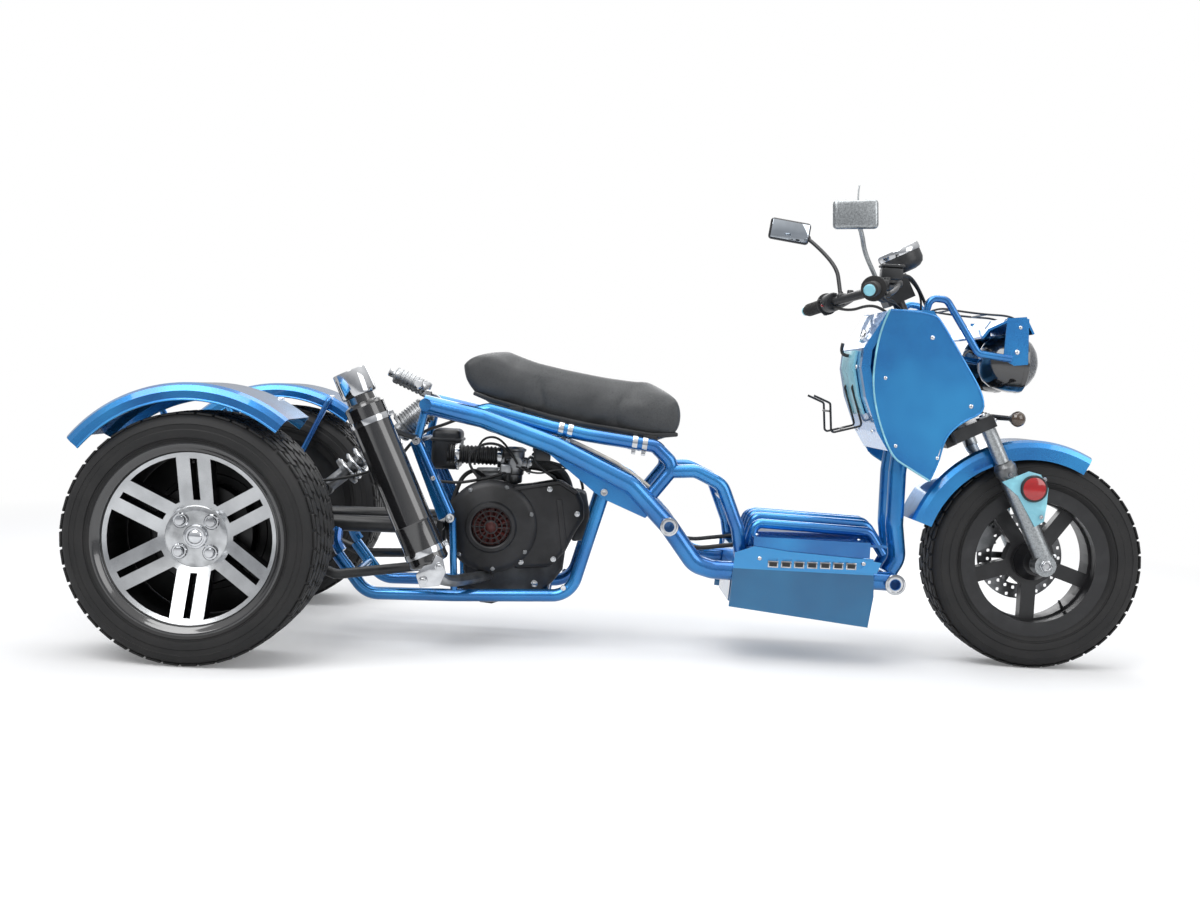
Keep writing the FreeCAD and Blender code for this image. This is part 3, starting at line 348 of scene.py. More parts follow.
def opened(obj, kind="VERT"):
    """Goes into edit mode on one object."""
    take(obj)
    bpy.ops.object.mode_set(mode="EDIT")
    bpy.ops.mesh.select_mode(type=kind)


def closed(obj):
    bpy.ops.object.mode_set(mode="OBJECT")
    return obj


def started(name):
    """A new mesh object, left in edit mode with a single point at the origin."""
    bpy.ops.object.select_all(action="DESELECT")
    bpy.ops.mesh.primitive_plane_add(size=0.01, location=(0, 0, 0))
    obj = bpy.context.object
    obj.name = name
    bpy.ops.object.mode_set(mode="EDIT")
    bpy.ops.mesh.select_mode(type="VERT")
    bpy.ops.mesh.merge(type="CENTER")
    return obj


def drawn(points):
    """Moves the single point to the first place and draws a line on through the rest."""
    bpy.ops.transform.translate(value=points[0])
    for before, after in zip(points, points[1:]):
        bpy.ops.mesh.extrude_region_move(TRANSFORM_OT_translate={"value": Vector(after) - Vector(before)})


def turned_to(direction):
    return Vector((0, 0, 1)).rotation_difference(Vector(direction)).to_matrix().to_4x4()


def settled(obj, matrix=None):
    """Moves a piece by a matrix, where one is given, and keeps its place in its mesh."""
    if matrix is not None:
        obj.matrix_world = matrix
    take(obj)
    bpy.ops.object.transform_apply(location=True, rotation=True, scale=True)
    return obj


def placed(obj, place, direction=(0, 0, 1)):
    """Stands a piece made upright at the origin on a place, along a direction."""
    return settled(obj, Matrix.Translation(place) @ turned_to(direction))


def shifted(obj, place):
    """Moves a piece made round the origin to its place."""
    return placed(obj, place)


def about(part, parts):
    """A turn about the upright axis, some parts of a whole round."""
    return Matrix.Rotation(math.tau * part / parts, 4, "Z")


def modified(obj, kind, **settings):
    """Adds one modifier with its settings and applies it."""
    take(obj)
    bpy.ops.object.modifier_add(type=kind)
    modifier = obj.modifiers[-1]
    for label, value in settings.items():
        setattr(modifier, label, value)
    bpy.ops.object.modifier_apply(modifier=modifier.name)
    return obj


def soft_edges(obj, width, segments=2, angle=40):
    return modified(obj, "BEVEL", width=width, segments=segments, limit_method="ANGLE",
                    angle_limit=math.radians(angle), use_clamp_overlap=True)


def smooth(obj, angle=35):
    take(obj)
    bpy.ops.object.shade_smooth_by_angle(angle=math.radians(angle))
    return obj


def turned(name, outline, steps=48):
    """A lathe piece standing on the origin: points of (radius, height) in millimetres."""
    obj = started(name)
    drawn([Vector((radius / 1000, 0, height / 1000)) for radius, height in outline])
    bpy.ops.mesh.select_all(action="SELECT")
    bpy.ops.mesh.spin(steps=steps, angle=math.tau, center=(0, 0, 0), axis=(0, 0, 1))
    bpy.ops.mesh.select_all(action="SELECT")
    bpy.ops.mesh.remove_doubles(threshold=0.00002)
    bpy.ops.mesh.normals_make_consistent(inside=False)
    return closed(obj)


def plate(name, outline, low, thick, edge=0.0008):
    """A flat piece with an outline seen from the side, from one side place, so thick."""
    obj = started(name)
    drawn([at(ahead, low, height) for ahead, height in outline])
    bpy.ops.mesh.select_all(action="SELECT")
    bpy.ops.mesh.edge_face_add()
    bpy.ops.mesh.extrude_region_move(TRANSFORM_OT_translate={"value": (0, thick / 1000, 0)})
    bpy.ops.mesh.select_all(action="SELECT")
    bpy.ops.mesh.normals_make_consistent(inside=False)
    closed(obj)
    if edge:
        soft_edges(obj, edge)
    return obj


def brick(name, size, edge=0.002, segments=2):
    """A block with rounded edges round the origin; its size is in millimetres."""
    bpy.ops.object.select_all(action="DESELECT")
    bpy.ops.mesh.primitive_cube_add(size=1, location=(0, 0, 0), scale=[value / 1000 for value in size])
    obj = bpy.context.object
    obj.name = name
    bpy.ops.object.transform_apply(location=True, rotation=True, scale=True)
    return soft_edges(obj, edge, segments)


def line(name, points, radius):
    """A round wire, hose or tube that follows points smoothly; its radius is in millimetres."""
    bpy.ops.object.select_all(action="DESELECT")
    bpy.ops.curve.primitive_nurbs_path_add(radius=1, location=(0, 0, 0))
    obj = bpy.context.object
    obj.name = name
    obj.data.splines.clear()
    spline = obj.data.splines.new("NURBS")
    spline.points.add(len(points) - 1)
    for knot, point in zip(spline.points, points):
        knot.co = (*point, 1)
    spline.order_u = 3
    spline.use_endpoint_u = True
    spline.resolution_u = 6
    obj.data.bevel_depth = radius / 1000
    obj.data.bevel_resolution = 3
    obj.data.use_fill_caps = True
    take(obj)
    bpy.ops.object.convert(target="MESH")
    obj = bpy.context.object
    opened(obj)
    bpy.ops.mesh.select_all(action="SELECT")
    bpy.ops.mesh.normals_make_consistent(inside=False)
    return smooth(closed(obj), 50)


def copied(obj, name):
    """A copy with a mesh of its own."""
    twin = obj.copy()
    twin.data = obj.data.copy()
    twin.name = name
    bpy.context.scene.collection.objects.link(twin)
    return twin


def joined(name, pieces):
    bpy.ops.object.select_all(action="DESELECT")
    for piece in pieces:
        piece.select_set(True)
    bpy.context.view_layer.objects.active = pieces[0]
    if len(pieces) > 1:
        bpy.ops.object.join()
    whole = bpy.context.object
    whole.name = name
    return whole


def spread(name, master, spots):
    """Copies of one upright piece at (place, direction, size), joined; the master goes."""
    pieces = []
    for number, (place, direction, size) in enumerate(spots):
        where = Matrix.Translation(place) @ turned_to(direction) @ Matrix.Scale(size, 4)
        pieces.append(settled(copied(master, "%s_%d" % (name, number)), where))
    bpy.data.objects.remove(master)
    return joined(name, pieces)


def cut_by(obj, tool):
    """Takes the tool's shape out of a piece; the tool goes."""
    modified(obj, "BOOLEAN", object=tool, operation="DIFFERENCE", solver="EXACT")
    bpy.data.objects.remove(tool)
    return obj


def fitted(obj, body, slot, finish=None, stands_for=(), angle=35, bends=None):
    """Gives a finished piece its finish, that of its slot unless another is named, and its body.

    Where bends are given, it stays where it was made and is joined to no body.
    """
    smooth(obj, angle)
    obj.data.materials.clear()
    obj.data.materials.append(FINISHES[finish or slot])
    if bends:
        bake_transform(obj)
    else:
        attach(obj, body)
    if stands_for:
        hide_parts(*stands_for)
    return obj


# ---- small hardware ------------------------------------------------------------------

def hex_bolt(name):
    """A hexagon head on a washer, 10 mm across its corners, standing on the origin."""
    washer = turned("washer", [(0, 0), (7, 0), (7, 1.2), (6.6, 1.6), (0, 1.6)], 20)
    head = turned("head", [(0, 1.6), (5, 1.6), (5, 5.2), (4.3, 6), (0, 6.2)], 6)
    return soft_edges(joined(name, [washer, head]), 0.0003, 1)


def socket_bolt(name):
    """A round head with a hexagon socket, 10 mm across, standing on the origin."""
    return turned(name, [(0, 0), (5, 0), (5, 4.2), (4.5, 5), (2.7, 5), (2.5, 4.7), (2.5, 2.2), (0, 2.0)], 24)


def dome_screw(name):
    """A domed head with a small recess, 10 mm across, standing on the origin."""
    return turned(name, [(0, 0), (5, 0), (4.9, 0.9), (3.9, 2.1), (2.4, 2.8), (1.5, 2.9), (1.3, 1.6),
                         (0, 1.5)], 20)


def clamp_ring(name, radius, width):
    """A band clamp round a tube, with a tightening ear; standing on the origin."""
    band = turned("band", [(radius, -width / 2), (radius + 2, -width / 2), (radius + 2.6, 0),
                           (radius + 2, width / 2), (radius, width / 2), (radius, -width / 2)], 32)
    ear = brick("ear", (10, 7, width * 0.8), 0.0012)
    return joined(name, [band, settled(ear, Matrix.Translation(((radius + 5) / 1000, 0, 0)))])


# ---- wheels --------------------------------------------------------------------------

def tread_row(radius, side, size, slant, count, start=0.0):
    """A row of tread blocks round the tyre, in edit mode: one block, then spun copies."""
    bpy.ops.mesh.select_all(action="DESELECT")
    place = Vector((radius * math.cos(start), radius * math.sin(start), side)) / 1000
    bpy.ops.mesh.primitive_cube_add(size=1, location=place, rotation=(slant, 0, start),
                                    scale=[value / 1000 for value in size])
    bpy.ops.mesh.bevel(offset=0.0012, segments=1, affect="EDGES")
    bpy.ops.mesh.spin(steps=count - 1, dupli=True, angle=math.tau * (count - 1) / count,
                      center=(0, 0, 0), axis=(0, 0, 1))


def tyre(name, body, place, outer, bead, half, bead_half, rows, count):
    """A tyre: carcass with ribs on its walls, then its rows of tread blocks."""
    crown = outer - 3.2
    wall = [(bead, bead_half), (bead + 3, bead_half + 6), (bead + 9, half - 8), (bead + 14, half - 4),
            (bead + 15, half - 5.5), (bead + 18, half - 5), (bead + 19.5, half - 1.6),
            (bead + 24, half - 0.6), (bead + 34, half - 0.8), (bead + 36, half - 2.6),
            (outer - 25, half - 2.6), (outer - 24, half - 1.2), (outer - 15, half - 5),
            (outer - 9, half - 11), (crown - 1.5, half - 20)]
    tread = [(crown, side) for side in (half * 0.55, half * 0.2)]
    outline = wall + tread + [(radius, -side) for radius, side in reversed(wall + tread)] + [wall[0]]
    obj = turned(name, outline, 96)
    opened(obj)
    for side, size, slant, start in rows:
        for sign in ((1, -1) if side else (1,)):
            tread_row(crown + size[0] / 2 - 1.2 - (side / half) ** 2 * 3.4, side * sign, size,
                      slant * sign, count, start + (0.5 * math.tau / count if sign < 0 else 0))
    closed(obj)
    placed(obj, place, SIDEWAYS)
    return fitted(obj, body, "tyre", stands_for=(name.replace("_tread", ""),), angle=40)


def wheels():
    """The three tyres, each with its rows: side, block size, slant and start."""
    rows = [(0, (4.4, 31, 24), 0.30, 0.0), (37, (4.4, 31, 28), 0.40, 0.03), (72, (4.4, 31, 26), 0.25, 0.06),
            (98, (4.6, 30, 12), 0.0, 0.02)]
    for side_name, sign in (("left", 1), ("right", -1)):
        tyre("rear_tyre_%s_tread" % side_name, "rear_wheel_" + side_name,
             REAR_AXLE + SIDEWAYS * HALF_TRACK * sign, 248, 178, 117.5, 95.5, rows, 44)
    front_rows = [(0, (4, 30, 20), 0.3, 0.0), (28, (4, 30, 20), 0.4, 0.05), (48, (4.2, 29, 10), 0.0, 0.02)]
    tyre("front_tyre_tread", "front_wheel", FRONT_AXLE, 243, 165, 65, 42, front_rows, 44)


def wheel_hardware():
    """Nuts, caps, lips, drums, a dark disc of painted shade inside each rear wheel, and a valve in every
    wheel.
    """
    for side_name, sign in (("left", 1), ("right", -1)):
        body = "rear_wheel_" + side_name
        out = SIDEWAYS * sign
        hub = REAR_AXLE + out * (HALF_TRACK + 0.0425)
        nut = turned("nut", [(0, 0), (15.5, 0), (15.5, 6), (13.5, 8), (10.8, 8), (10.4, 2), (9.6, 1.4),
                             (9.6, 15), (8.2, 17.5), (0, 18)], 24)
        spots = []
        for turn in range(4):
            angle = math.radians(45 + 90 * turn)
            spots.append((hub + Vector((math.cos(angle), 0, math.sin(angle))) * 0.043, out, 1.0))
        fitted(spread("lug_nuts_" + side_name, nut, spots), body, "chrome")
        cap = turned("hub_cap_" + side_name, [(0, 0), (24, 0), (24, 8), (22.5, 11), (19, 12), (18, 10.5),
                                              (15, 10.5), (13, 13), (8, 15), (0, 15.6)], 40)
        fitted(placed(cap, hub, out), body, "chrome")
        well = turned("lug_wells_" + side_name, [(0, -1), (61, -1), (61, 1.2), (59, 2.2), (50, 2.4),
                                                 (0, 2.4)], 48)
        fitted(placed(well, hub, out), body, "alloy", "spring_steel")
        lip = turned("rim_lip_" + side_name, [(191.2, -3), (191.2, 1.2), (189.5, 2.6), (183, 3.2), (180, 1.6),
                                              (176, -3.4), (171, -6.5), (170.4, -13), (176, -12),
                                              (184, -3)], 96)
        fitted(placed(lip, REAR_AXLE + out * (HALF_TRACK + 0.1065), out), body, "alloy", "exhaust_steel")
        # painted shade: a dark disc inside the rear wheel stands for the shade behind its spokes
        shade = turned("wheel_shade_" + side_name, [(44, 0), (166, 0), (166.5, 2), (160, 4), (120, 6),
                                                    (118, 9), (70, 10), (44, 10), (44, 0)], 64)
        fitted(placed(shade, REAR_AXLE + out * (HALF_TRACK - 0.060), out), body, "alloy", "cable_black")
        drum = turned("brake_drum_" + side_name, [(44, 0), (98, 0), (104, 4), (104, 34), (100, 40), (88, 42),
                                                  (44, 42), (44, 0)], 48)
        fitted(placed(drum, REAR_AXLE + out * (HALF_TRACK - 0.044), out), body, "alloy", "black_alloy")
    valve = turned("valve", [(0, 0), (4.2, 0), (4.2, 8), (3, 12), (3, 26), (2.2, 30), (0, 30.5)], 16)
    for name, body, slot, place, way in (
            ("valve_left", "rear_wheel_left", "alloy", REAR_AXLE + Vector((0, HALF_TRACK + 0.06, 0.166)),
             (0, 0.8, -0.6)),
            ("valve_right", "rear_wheel_right", "alloy", REAR_AXLE + Vector((0, -HALF_TRACK - 0.06, 0.166)),
             (0, -0.8, -0.6)),
            ("valve_front", "front_wheel", "black_alloy", FRONT_AXLE + Vector((0.08, -0.02, -0.108)),
             (-0.5, -0.5, 0.7))):
        fitted(spread(name, copied(valve, name + "_master"), [(place, way, 1.0)]), body, slot, "cable_black")
    bpy.data.objects.remove(valve)


def brake_disc():
    """The front disc, drilled with two rings of holes, on a six-armed carrier."""
    disc = turned("brake_disc", [(66, 0), (100, 0), (100, 4), (66, 4), (66, 0)], 96)
    drills = []
    for ring, radius, count, shift in ((0, 93, 24, 0.0), (1, 75, 24, 0.5)):
        for step in range(count):
            angle = math.tau * (step + shift) / count
            drill = brick("drill_%d_%d" % (ring, step), (7.5, 7.5, 20), 0.0022, 2)
            drills.append(shifted(drill, Vector((math.cos(angle), math.sin(angle), 0)) * radius / 1000))
    cut_by(disc, joined("drills", drills))
    carrier = turned("carrier", [(26, 0.4), (40, 0.4), (40, 3.6), (26, 3.6), (26, 0.4)], 48)
    arms = []
    for step in range(6):
        arm = brick("arm_%d" % step, (38, 15, 3), 0.0008)
        arms.append(settled(arm, about(step, 6) @ Matrix.Translation((0.054, 0, 0.002))))
    whole = joined("brake_disc", [disc, carrier] + arms)
    placed(whole, FRONT_AXLE + SIDEWAYS * 0.066, SIDEWAYS)
    fitted(whole, "front_wheel", "brake_steel", stands_for=("front_disc",))


# ---- seat ----------------------------------------------------------------------------

SEAT_VOXEL = 0.006
SEAT_SWELL = 0.024
SEAT_PROUD = 0.004


def filled(pad, low, high):
    """Swells the pad as cloth under pressure, by SEAT_SWELL at most and SEAT_PROUD past its sides."""
    rest = [point.co.copy() for point in pad.data.vertices]
    take(pad)
    bpy.ops.object.modifier_add(type="CLOTH")
    cloth = pad.modifiers[-1]
    cloth.settings.use_pressure = True
    cloth.settings.uniform_pressure_force = 4
    cloth.settings.effector_weights.gravity = 0
    scene = bpy.context.scene
    for count in range(1, 21):
        scene.frame_set(count)
    shape = pad.evaluated_get(bpy.context.evaluated_depsgraph_get()).data
    pushed = [point.co.copy() for point in shape.vertices]
    pad.modifiers.remove(cloth)
    scene.frame_set(1)
    for point, start, end in zip(pad.data.vertices, rest, pushed):
        step = end - start
        if step.length > SEAT_SWELL:
            step = step.normalized() * SEAT_SWELL
        goal = start + step
        goal.y = max(low.y - SEAT_PROUD, min(high.y + SEAT_PROUD, goal.y))
        point.co = goal


def seat():
    """The saddle: its plain solid shrunk, filled like a cushion and smoothed, on a pan and feet."""
    source = frame["nodes"]["seat"]
    pad = copied(source, "seat_pad")
    pad.parent = None
    for key in list(pad.keys()):
        del pad[key]
    opened(pad)
    bpy.ops.mesh.select_all(action="SELECT")
    bpy.ops.mesh.remove_doubles(threshold=0.0001)
    bpy.ops.mesh.normals_make_consistent(inside=False)
    closed(pad)
    soft_edges(pad, 0.030, 4, 50)
    low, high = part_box("seat")
    middle = (low + high) / 2
    for point in pad.data.vertices:
        away = point.co - middle
        ahead = (point.co.x - low.x) / (high.x - low.x)
        waist = 0.80 - 0.10 * math.sin(min(1.0, ahead) * math.pi) + 0.04 * (1 - ahead)
        point.co = middle + Vector((away.x * 0.95, away.y * waist, away.z))
        point.co.z = point.co.z - 0.006 if away.z > 0 else point.co.z + 0.004
    modified(pad, "REMESH", mode="VOXEL", voxel_size=SEAT_VOXEL)
    filled(pad, low, high)
    modified(pad, "SMOOTH", factor=0.6, iterations=8)
    modified(pad, "SUBSURF", levels=1, render_levels=1)
    fitted(pad, "frame", "seat_cover", stands_for=("seat",), angle=80)
    pan = plate("seat_pan", [(962, 485), (905, 477), (754, 494), (677, 507), (545, 537), (502, 553),
                             (506, 562), (545, 549), (677, 519), (754, 506), (905, 490),
                             (962, 494)], -96, 192, 0.003)
    fitted(pan, "frame", "black_plastic")
    feet = []
    for side in (-96, 96):
        for ahead, height in ((600, 521), (900, 474)):
            foot = brick("foot", (34, 26, 22), 0.005)
            feet.append(shifted(foot, at(ahead, side, height)))
    fitted(joined("seat_feet", feet), "frame", "black_plastic", "grip_rubber")


# ---- engine --------------------------------------------------------------------------

FAN = (558, 262)


def fins(name, count, size, start, step):
    """A stack of thin cooling fins with rounded edges."""
    pieces = []
    for number in range(count):
        fin = brick("%s_%d" % (name, number), size, 0.0008, 1)
        pieces.append(shifted(fin, Vector(start) + Vector(step) * number))
    return joined(name, pieces)


def fan_cover():
    """The round cooling-fan cover, its grille, its red fan and the cover's bolts."""
    cover = turned("fan_cover", [(104, 0), (104, 20), (99, 27), (88, 31), (66, 36), (58, 38), (54, 43),
                                 (47, 44.5), (44, 43), (43, 36), (43, 14), (96, 10), (104, 0)], 72)
    placed(cover, at(FAN[0], -66, FAN[1]), -SIDEWAYS)
    fitted(cover, "frame", "black_cover", stands_for=("engine_cover",))
    fan = turned("fan_wheel", [(0, 0), (42, 0), (42, 3), (14, 5), (13, 12), (10, 14), (0, 14.5)], 48)
    blades = []
    for number in range(14):
        blade = brick("blade_%d" % number, (24, 1.6, 14), 0.0006, 1)
        where = about(number, 14) @ Matrix.Translation((0.028, 0, 0.011)) @ Matrix.Rotation(0.5, 4, "X")
        blades.append(settled(blade, where))
    fan = joined("fan_wheel", [fan] + blades)
    placed(fan, at(FAN[0], -82, FAN[1]), -SIDEWAYS)
    fitted(fan, "frame", "black_cover", "fan_red")
    rings = [turned("grille_ring_%d" % r, [(r - 1.2, 0), (r + 1.2, 0), (r + 1.2, 2.4), (r - 1.2, 2.4),
                                           (r - 1.2, 0)], 40)
             for r in (14, 25, 36)]
    for number in range(6):
        spoke = brick("grille_bar_%d" % number, (34, 2.2, 2.2), 0.0005, 1)
        rings.append(settled(spoke, about(number, 6) @ Matrix.Translation((0.027, 0, 0.0012))))
    grille = joined("fan_grille", rings)
    placed(grille, at(FAN[0], -104, FAN[1]), -SIDEWAYS)
    fitted(grille, "frame", "black_cover")
    spots = []
    for number in range(7):
        angle = math.radians(20 + 51 * number)
        spots.append((at(FAN[0] + 93 * math.cos(angle), -94, FAN[1] + 93 * math.sin(angle)), -SIDEWAYS, 0.8))
    fitted(spread("fan_cover_bolts", hex_bolt("bolt"), spots), "frame", "black_cover", "dull_silver")


def engine_case():
    """Crankcase, sump, belt case and cylinder with its fins and shroud."""
    case = plate("crankcase", [(498, 160), (512, 124), (548, 104), (612, 98), (664, 104), (700, 140),
                               (722, 170), (728, 236), (716, 290), (690, 326), (640, 344), (562, 350),
                               (514, 332), (496, 284)],
                 -66, 126, 0)
    soft_edges(case, 0.010, 3)
    fitted(case, "frame", "engine_metal", stands_for=("engine",))
    belly = plate("sump", [(470, 122), (506, 106), (540, 86), (566, 84), (604, 98), (650, 102), (660, 128),
                           (480, 132)],
                  -62, 120, 0)
    soft_edges(belly, 0.006, 2)
    ribs = fins("sump_ribs", 9, (3, 112, 14), at(508, -2, 100), (0.018, 0, 0))
    fitted(joined("sump", [belly, ribs]), "frame", "engine_metal", "black_cover")
    shroud = plate("cylinder_shroud", [(566, 352), (640, 362), (704, 376), (748, 350), (762, 322), (764, 290),
                                       (746, 258), (726, 214), (694, 176), (610, 168),
                                       (600, 260)], -88, 40, 0)
    soft_edges(shroud, 0.012, 3)
    rib = plate("shroud_rib", [(604, 352), (706, 372), (746, 348), (742, 344), (704, 365),
                               (606, 345)], -93, 8, 0.002)
    tail = plate("shroud_rib_low", [(700, 330), (712, 330), (730, 226), (718, 214)], -92, 7, 0.002)
    fitted(joined("cylinder_shroud", [shroud, rib, tail]), "frame", "black_cover")
    belt = plate("belt_case", [(492, 230), (500, 180), (540, 158), (600, 156), (680, 186), (724, 214),
                               (736, 262), (716, 312), (660, 332), (560, 336), (506, 300)], 60, 40, 0)
    soft_edges(belt, 0.012, 3)
    belt_ribs = fins("belt_ribs", 7, (3, 6, 92), at(560, 101, 246), (0.020, 0, 0.0015))
    fitted(joined("belt_case", [belt, belt_ribs]), "frame", "engine_metal", "dull_silver")
    rim = [(505, 236), (516, 188), (556, 168), (622, 172), (690, 202), (724, 252), (702, 306), (640, 322),
           (560, 324)]
    spots = [(at(ahead, 100, height), SIDEWAYS, 0.85) for ahead, height in rim]
    fitted(spread("belt_case_bolts", hex_bolt("bolt"), spots), "frame", "engine_metal", "spring_steel")
    stack = fins("cylinder_fins", 11, (3, 108, 118), at(650, 0, 280), (0.0082, 0, 0))
    for point in stack.data.vertices:
        point.co.z += (point.co.x - at(650, 0, 0).x) * 0.2
    head = plate("cylinder_head", [(738, 232), (770, 238), (776, 300), (766, 344), (738, 350)], -46, 92, 0)
    soft_edges(head, 0.007, 2)
    fitted(joined("cylinder_fins", [stack, head]), "frame", "engine_metal")
    starter = turned("starter_motor", [(0, 0), (17, 0), (19, 3), (19, 58), (16, 62), (16, 74), (9, 76),
                                       (0, 76)], 32)
    placed(starter, at(512, 30, 366), (1, 0, 0.06))
    fitted(starter, "frame", "engine_metal", "dull_silver")
    spots = [(at(620, -88, 330), -SIDEWAYS, 0.9), (at(684, -88, 352), -SIDEWAYS, 0.9),
             (at(748, -88, 300), -SIDEWAYS, 0.9), (at(700, -88, 196), -SIDEWAYS, 0.9),
             (at(628, -88, 186), -SIDEWAYS, 0.9), (at(520, -66, 140), -SIDEWAYS, 1),
             (at(560, -62, 112), -SIDEWAYS, 1.2), (at(660, -66, 136), -SIDEWAYS, 1.1)]
    fitted(spread("engine_bolts", hex_bolt("bolt"), spots), "frame", "engine_metal", "spring_steel")


def carburettor():
    """Air box, ribbed duct, carburettor with its bowl, and the hose to the head."""
    rings = [(17, 0), (22, 1)]
    for number in range(14):
        base = 6 + number * 9
        rings += [(19, base), (21.5, base + 2), (21.5, base + 4.5), (19, base + 6.5)]
    rings += [(22, 138), (22, 148), (17, 148), (17, 0)]
    duct = turned("air_duct", rings, 32)
    placed(duct, at(446, -20, 416), (1, 0, 0))
    fitted(duct, "frame", "black_plastic", "cable_black", stands_for=("intake",))
    box = brick("air_box", (66, 104, 92), 0.012, 3)
    lid = brick("air_box_lid", (72, 108, 8), 0.003, 2)
    pieces = [shifted(box, at(440, 50, 424)), shifted(lid, at(440, 50, 446))]
    fitted(joined("air_box", pieces), "frame", "black_plastic")
    body = turned("carburettor_body", [(0, 0), (20, 0), (22, 3), (22, 30), (26, 33), (26, 36), (22, 38),
                                       (22, 52), (25, 55), (25, 59), (16, 63), (0, 64)], 32)
    shifted(body, at(600, -22, 376))
    throat = turned("throat", [(0, 0), (19, 0), (19, 5), (15, 7), (15, 56), (19, 58), (19, 63), (0, 63)], 28)
    placed(throat, at(572, -22, 408), (1, 0, -0.12))
    bowl = turned("float_bowl", [(0, -26), (8, -26), (10, -22), (17, -20), (19, -16), (19, 0), (0, 0)], 28)
    shifted(bowl, at(600, -22, 378))
    wheel = turned("throttle_wheel", [(0, 0), (14, 0), (14, 1.4), (12.6, 2.4), (14, 3.4), (14, 4.8), (4, 5),
                                      (4, 8), (0, 8)], 28)
    placed(wheel, at(604, -46, 404), -SIDEWAYS)
    block_side = brick("choke_block", (24, 18, 20), 0.003)
    shifted(block_side, at(582, -46, 390))
    fitted(joined("carburettor", [body, throat, bowl, wheel, block_side]), "frame", "black_plastic",
           "dull_silver")
    hose = line("intake_hose", [at(632, -22, 404), at(664, -22, 402), at(696, -16, 392), at(718, -8, 366),
                                at(722, -4, 344)], 15)
    fitted(hose, "frame", "black_plastic", "cable_black")
    clips = [(at(636, -22, 404), (1, 0, -0.1), 1.0), (at(470, -20, 416), (1, 0, 0), 1.42),
             (at(566, -20, 414), (1, 0, 0), 1.35)]
    fitted(spread("hose_clips", clamp_ring("clip", 15.4, 7), clips), "frame", "black_plastic", "spring_steel")


CABLES = [
    ("throttle_cable", 2.6, [(608, -58, 402), (588, -62, 436), (560, -66, 462), (530, -68, 458),
                             (516, -66, 430), (512, -62, 396)]),
    ("fuel_hose", 3.4, [(586, -50, 384), (560, -60, 372), (520, -66, 362), (470, -70, 352), (430, -70, 356)]),
    ("spark_lead", 3.2, [(758, -30, 352), (752, -40, 386), (716, -62, 404), (668, -70, 414),
                         (640, -66, 428)]),
    ("breather_hose", 5.0, [(540, 10, 350), (520, -6, 384), (486, -20, 372), (470, -40, 330),
                            (462, -50, 292)]),
    ("starter_wire", 3.0, [(596, 30, 372), (630, 40, 396), (664, 46, 386), (700, 60, 360), (730, 76, 330)]),
    ("loom_right", 5.0, [(612, -104, 468), (660, -106, 452), (742, -110, 420), (830, -112, 372),
                         (905, -112, 318), (950, -100, 262), (1010, -90, 236), (1080, -90, 248),
                         (1160, -90, 258)]),
    ("loom_left", 5.0, [(612, 104, 468), (660, 106, 452), (742, 110, 420), (830, 112, 372), (905, 112, 318),
                        (950, 100, 262), (1010, 90, 236), (1080, 90, 248), (1160, 90, 258)]),
    ("rear_loom", 3.6, [(470, -86, 496), (436, -96, 480), (404, -100, 470), (372, -92, 440), (340, -70, 396),
                        (240, -40, 350), (100, -30, 330), (-60, -18, 296), (-168, -14, 318)]),
    ("vacuum_hose", 3.0, [(600, -44, 412), (582, -76, 440), (542, -92, 450), (506, -94, 430), (498, -88, 396),
                          (524, -80, 368)]),
    ("earth_lead", 2.6, [(704, -62, 352), (700, -88, 376), (672, -98, 392), (640, -100, 418),
                         (650, -104, 450)]),
    ("choke_cable", 2.2, [(606, -70, 398), (648, -88, 380), (700, -96, 400), (760, -100, 404),
                          (812, -104, 372)]),
    ("coil_lead", 3.0, [(470, -88, 500), (520, -100, 486), (560, -104, 470), (612, -104, 468)]),
]


def cables():
    """Wires and hoses that the frame holds all the way."""
    for name, radius, route in CABLES:
        fitted(line(name, [at(*place) for place in route], radius), "frame", "black_plastic", "cable_black")
    pipe = [at(560, -104, 512), at(620, -106, 500), at(700, -108, 474), at(780, -110, 442),
            at(850, -112, 410), at(906, -113, 370)]
    fitted(line("pale_pipe", pipe, 4.2), "frame", "black_plastic", "pale_pipe")
    relay = shifted(brick("relay", (36, 20, 26), 0.003), at(664, -92, 428))
    foot = shifted(brick("foot", (46, 3, 12), 0.001), at(664, -80, 440))
    fitted(joined("starter_relay", [relay, foot]), "frame", "black_plastic")


# ---- exhaust and spring --------------------------------------------------------------

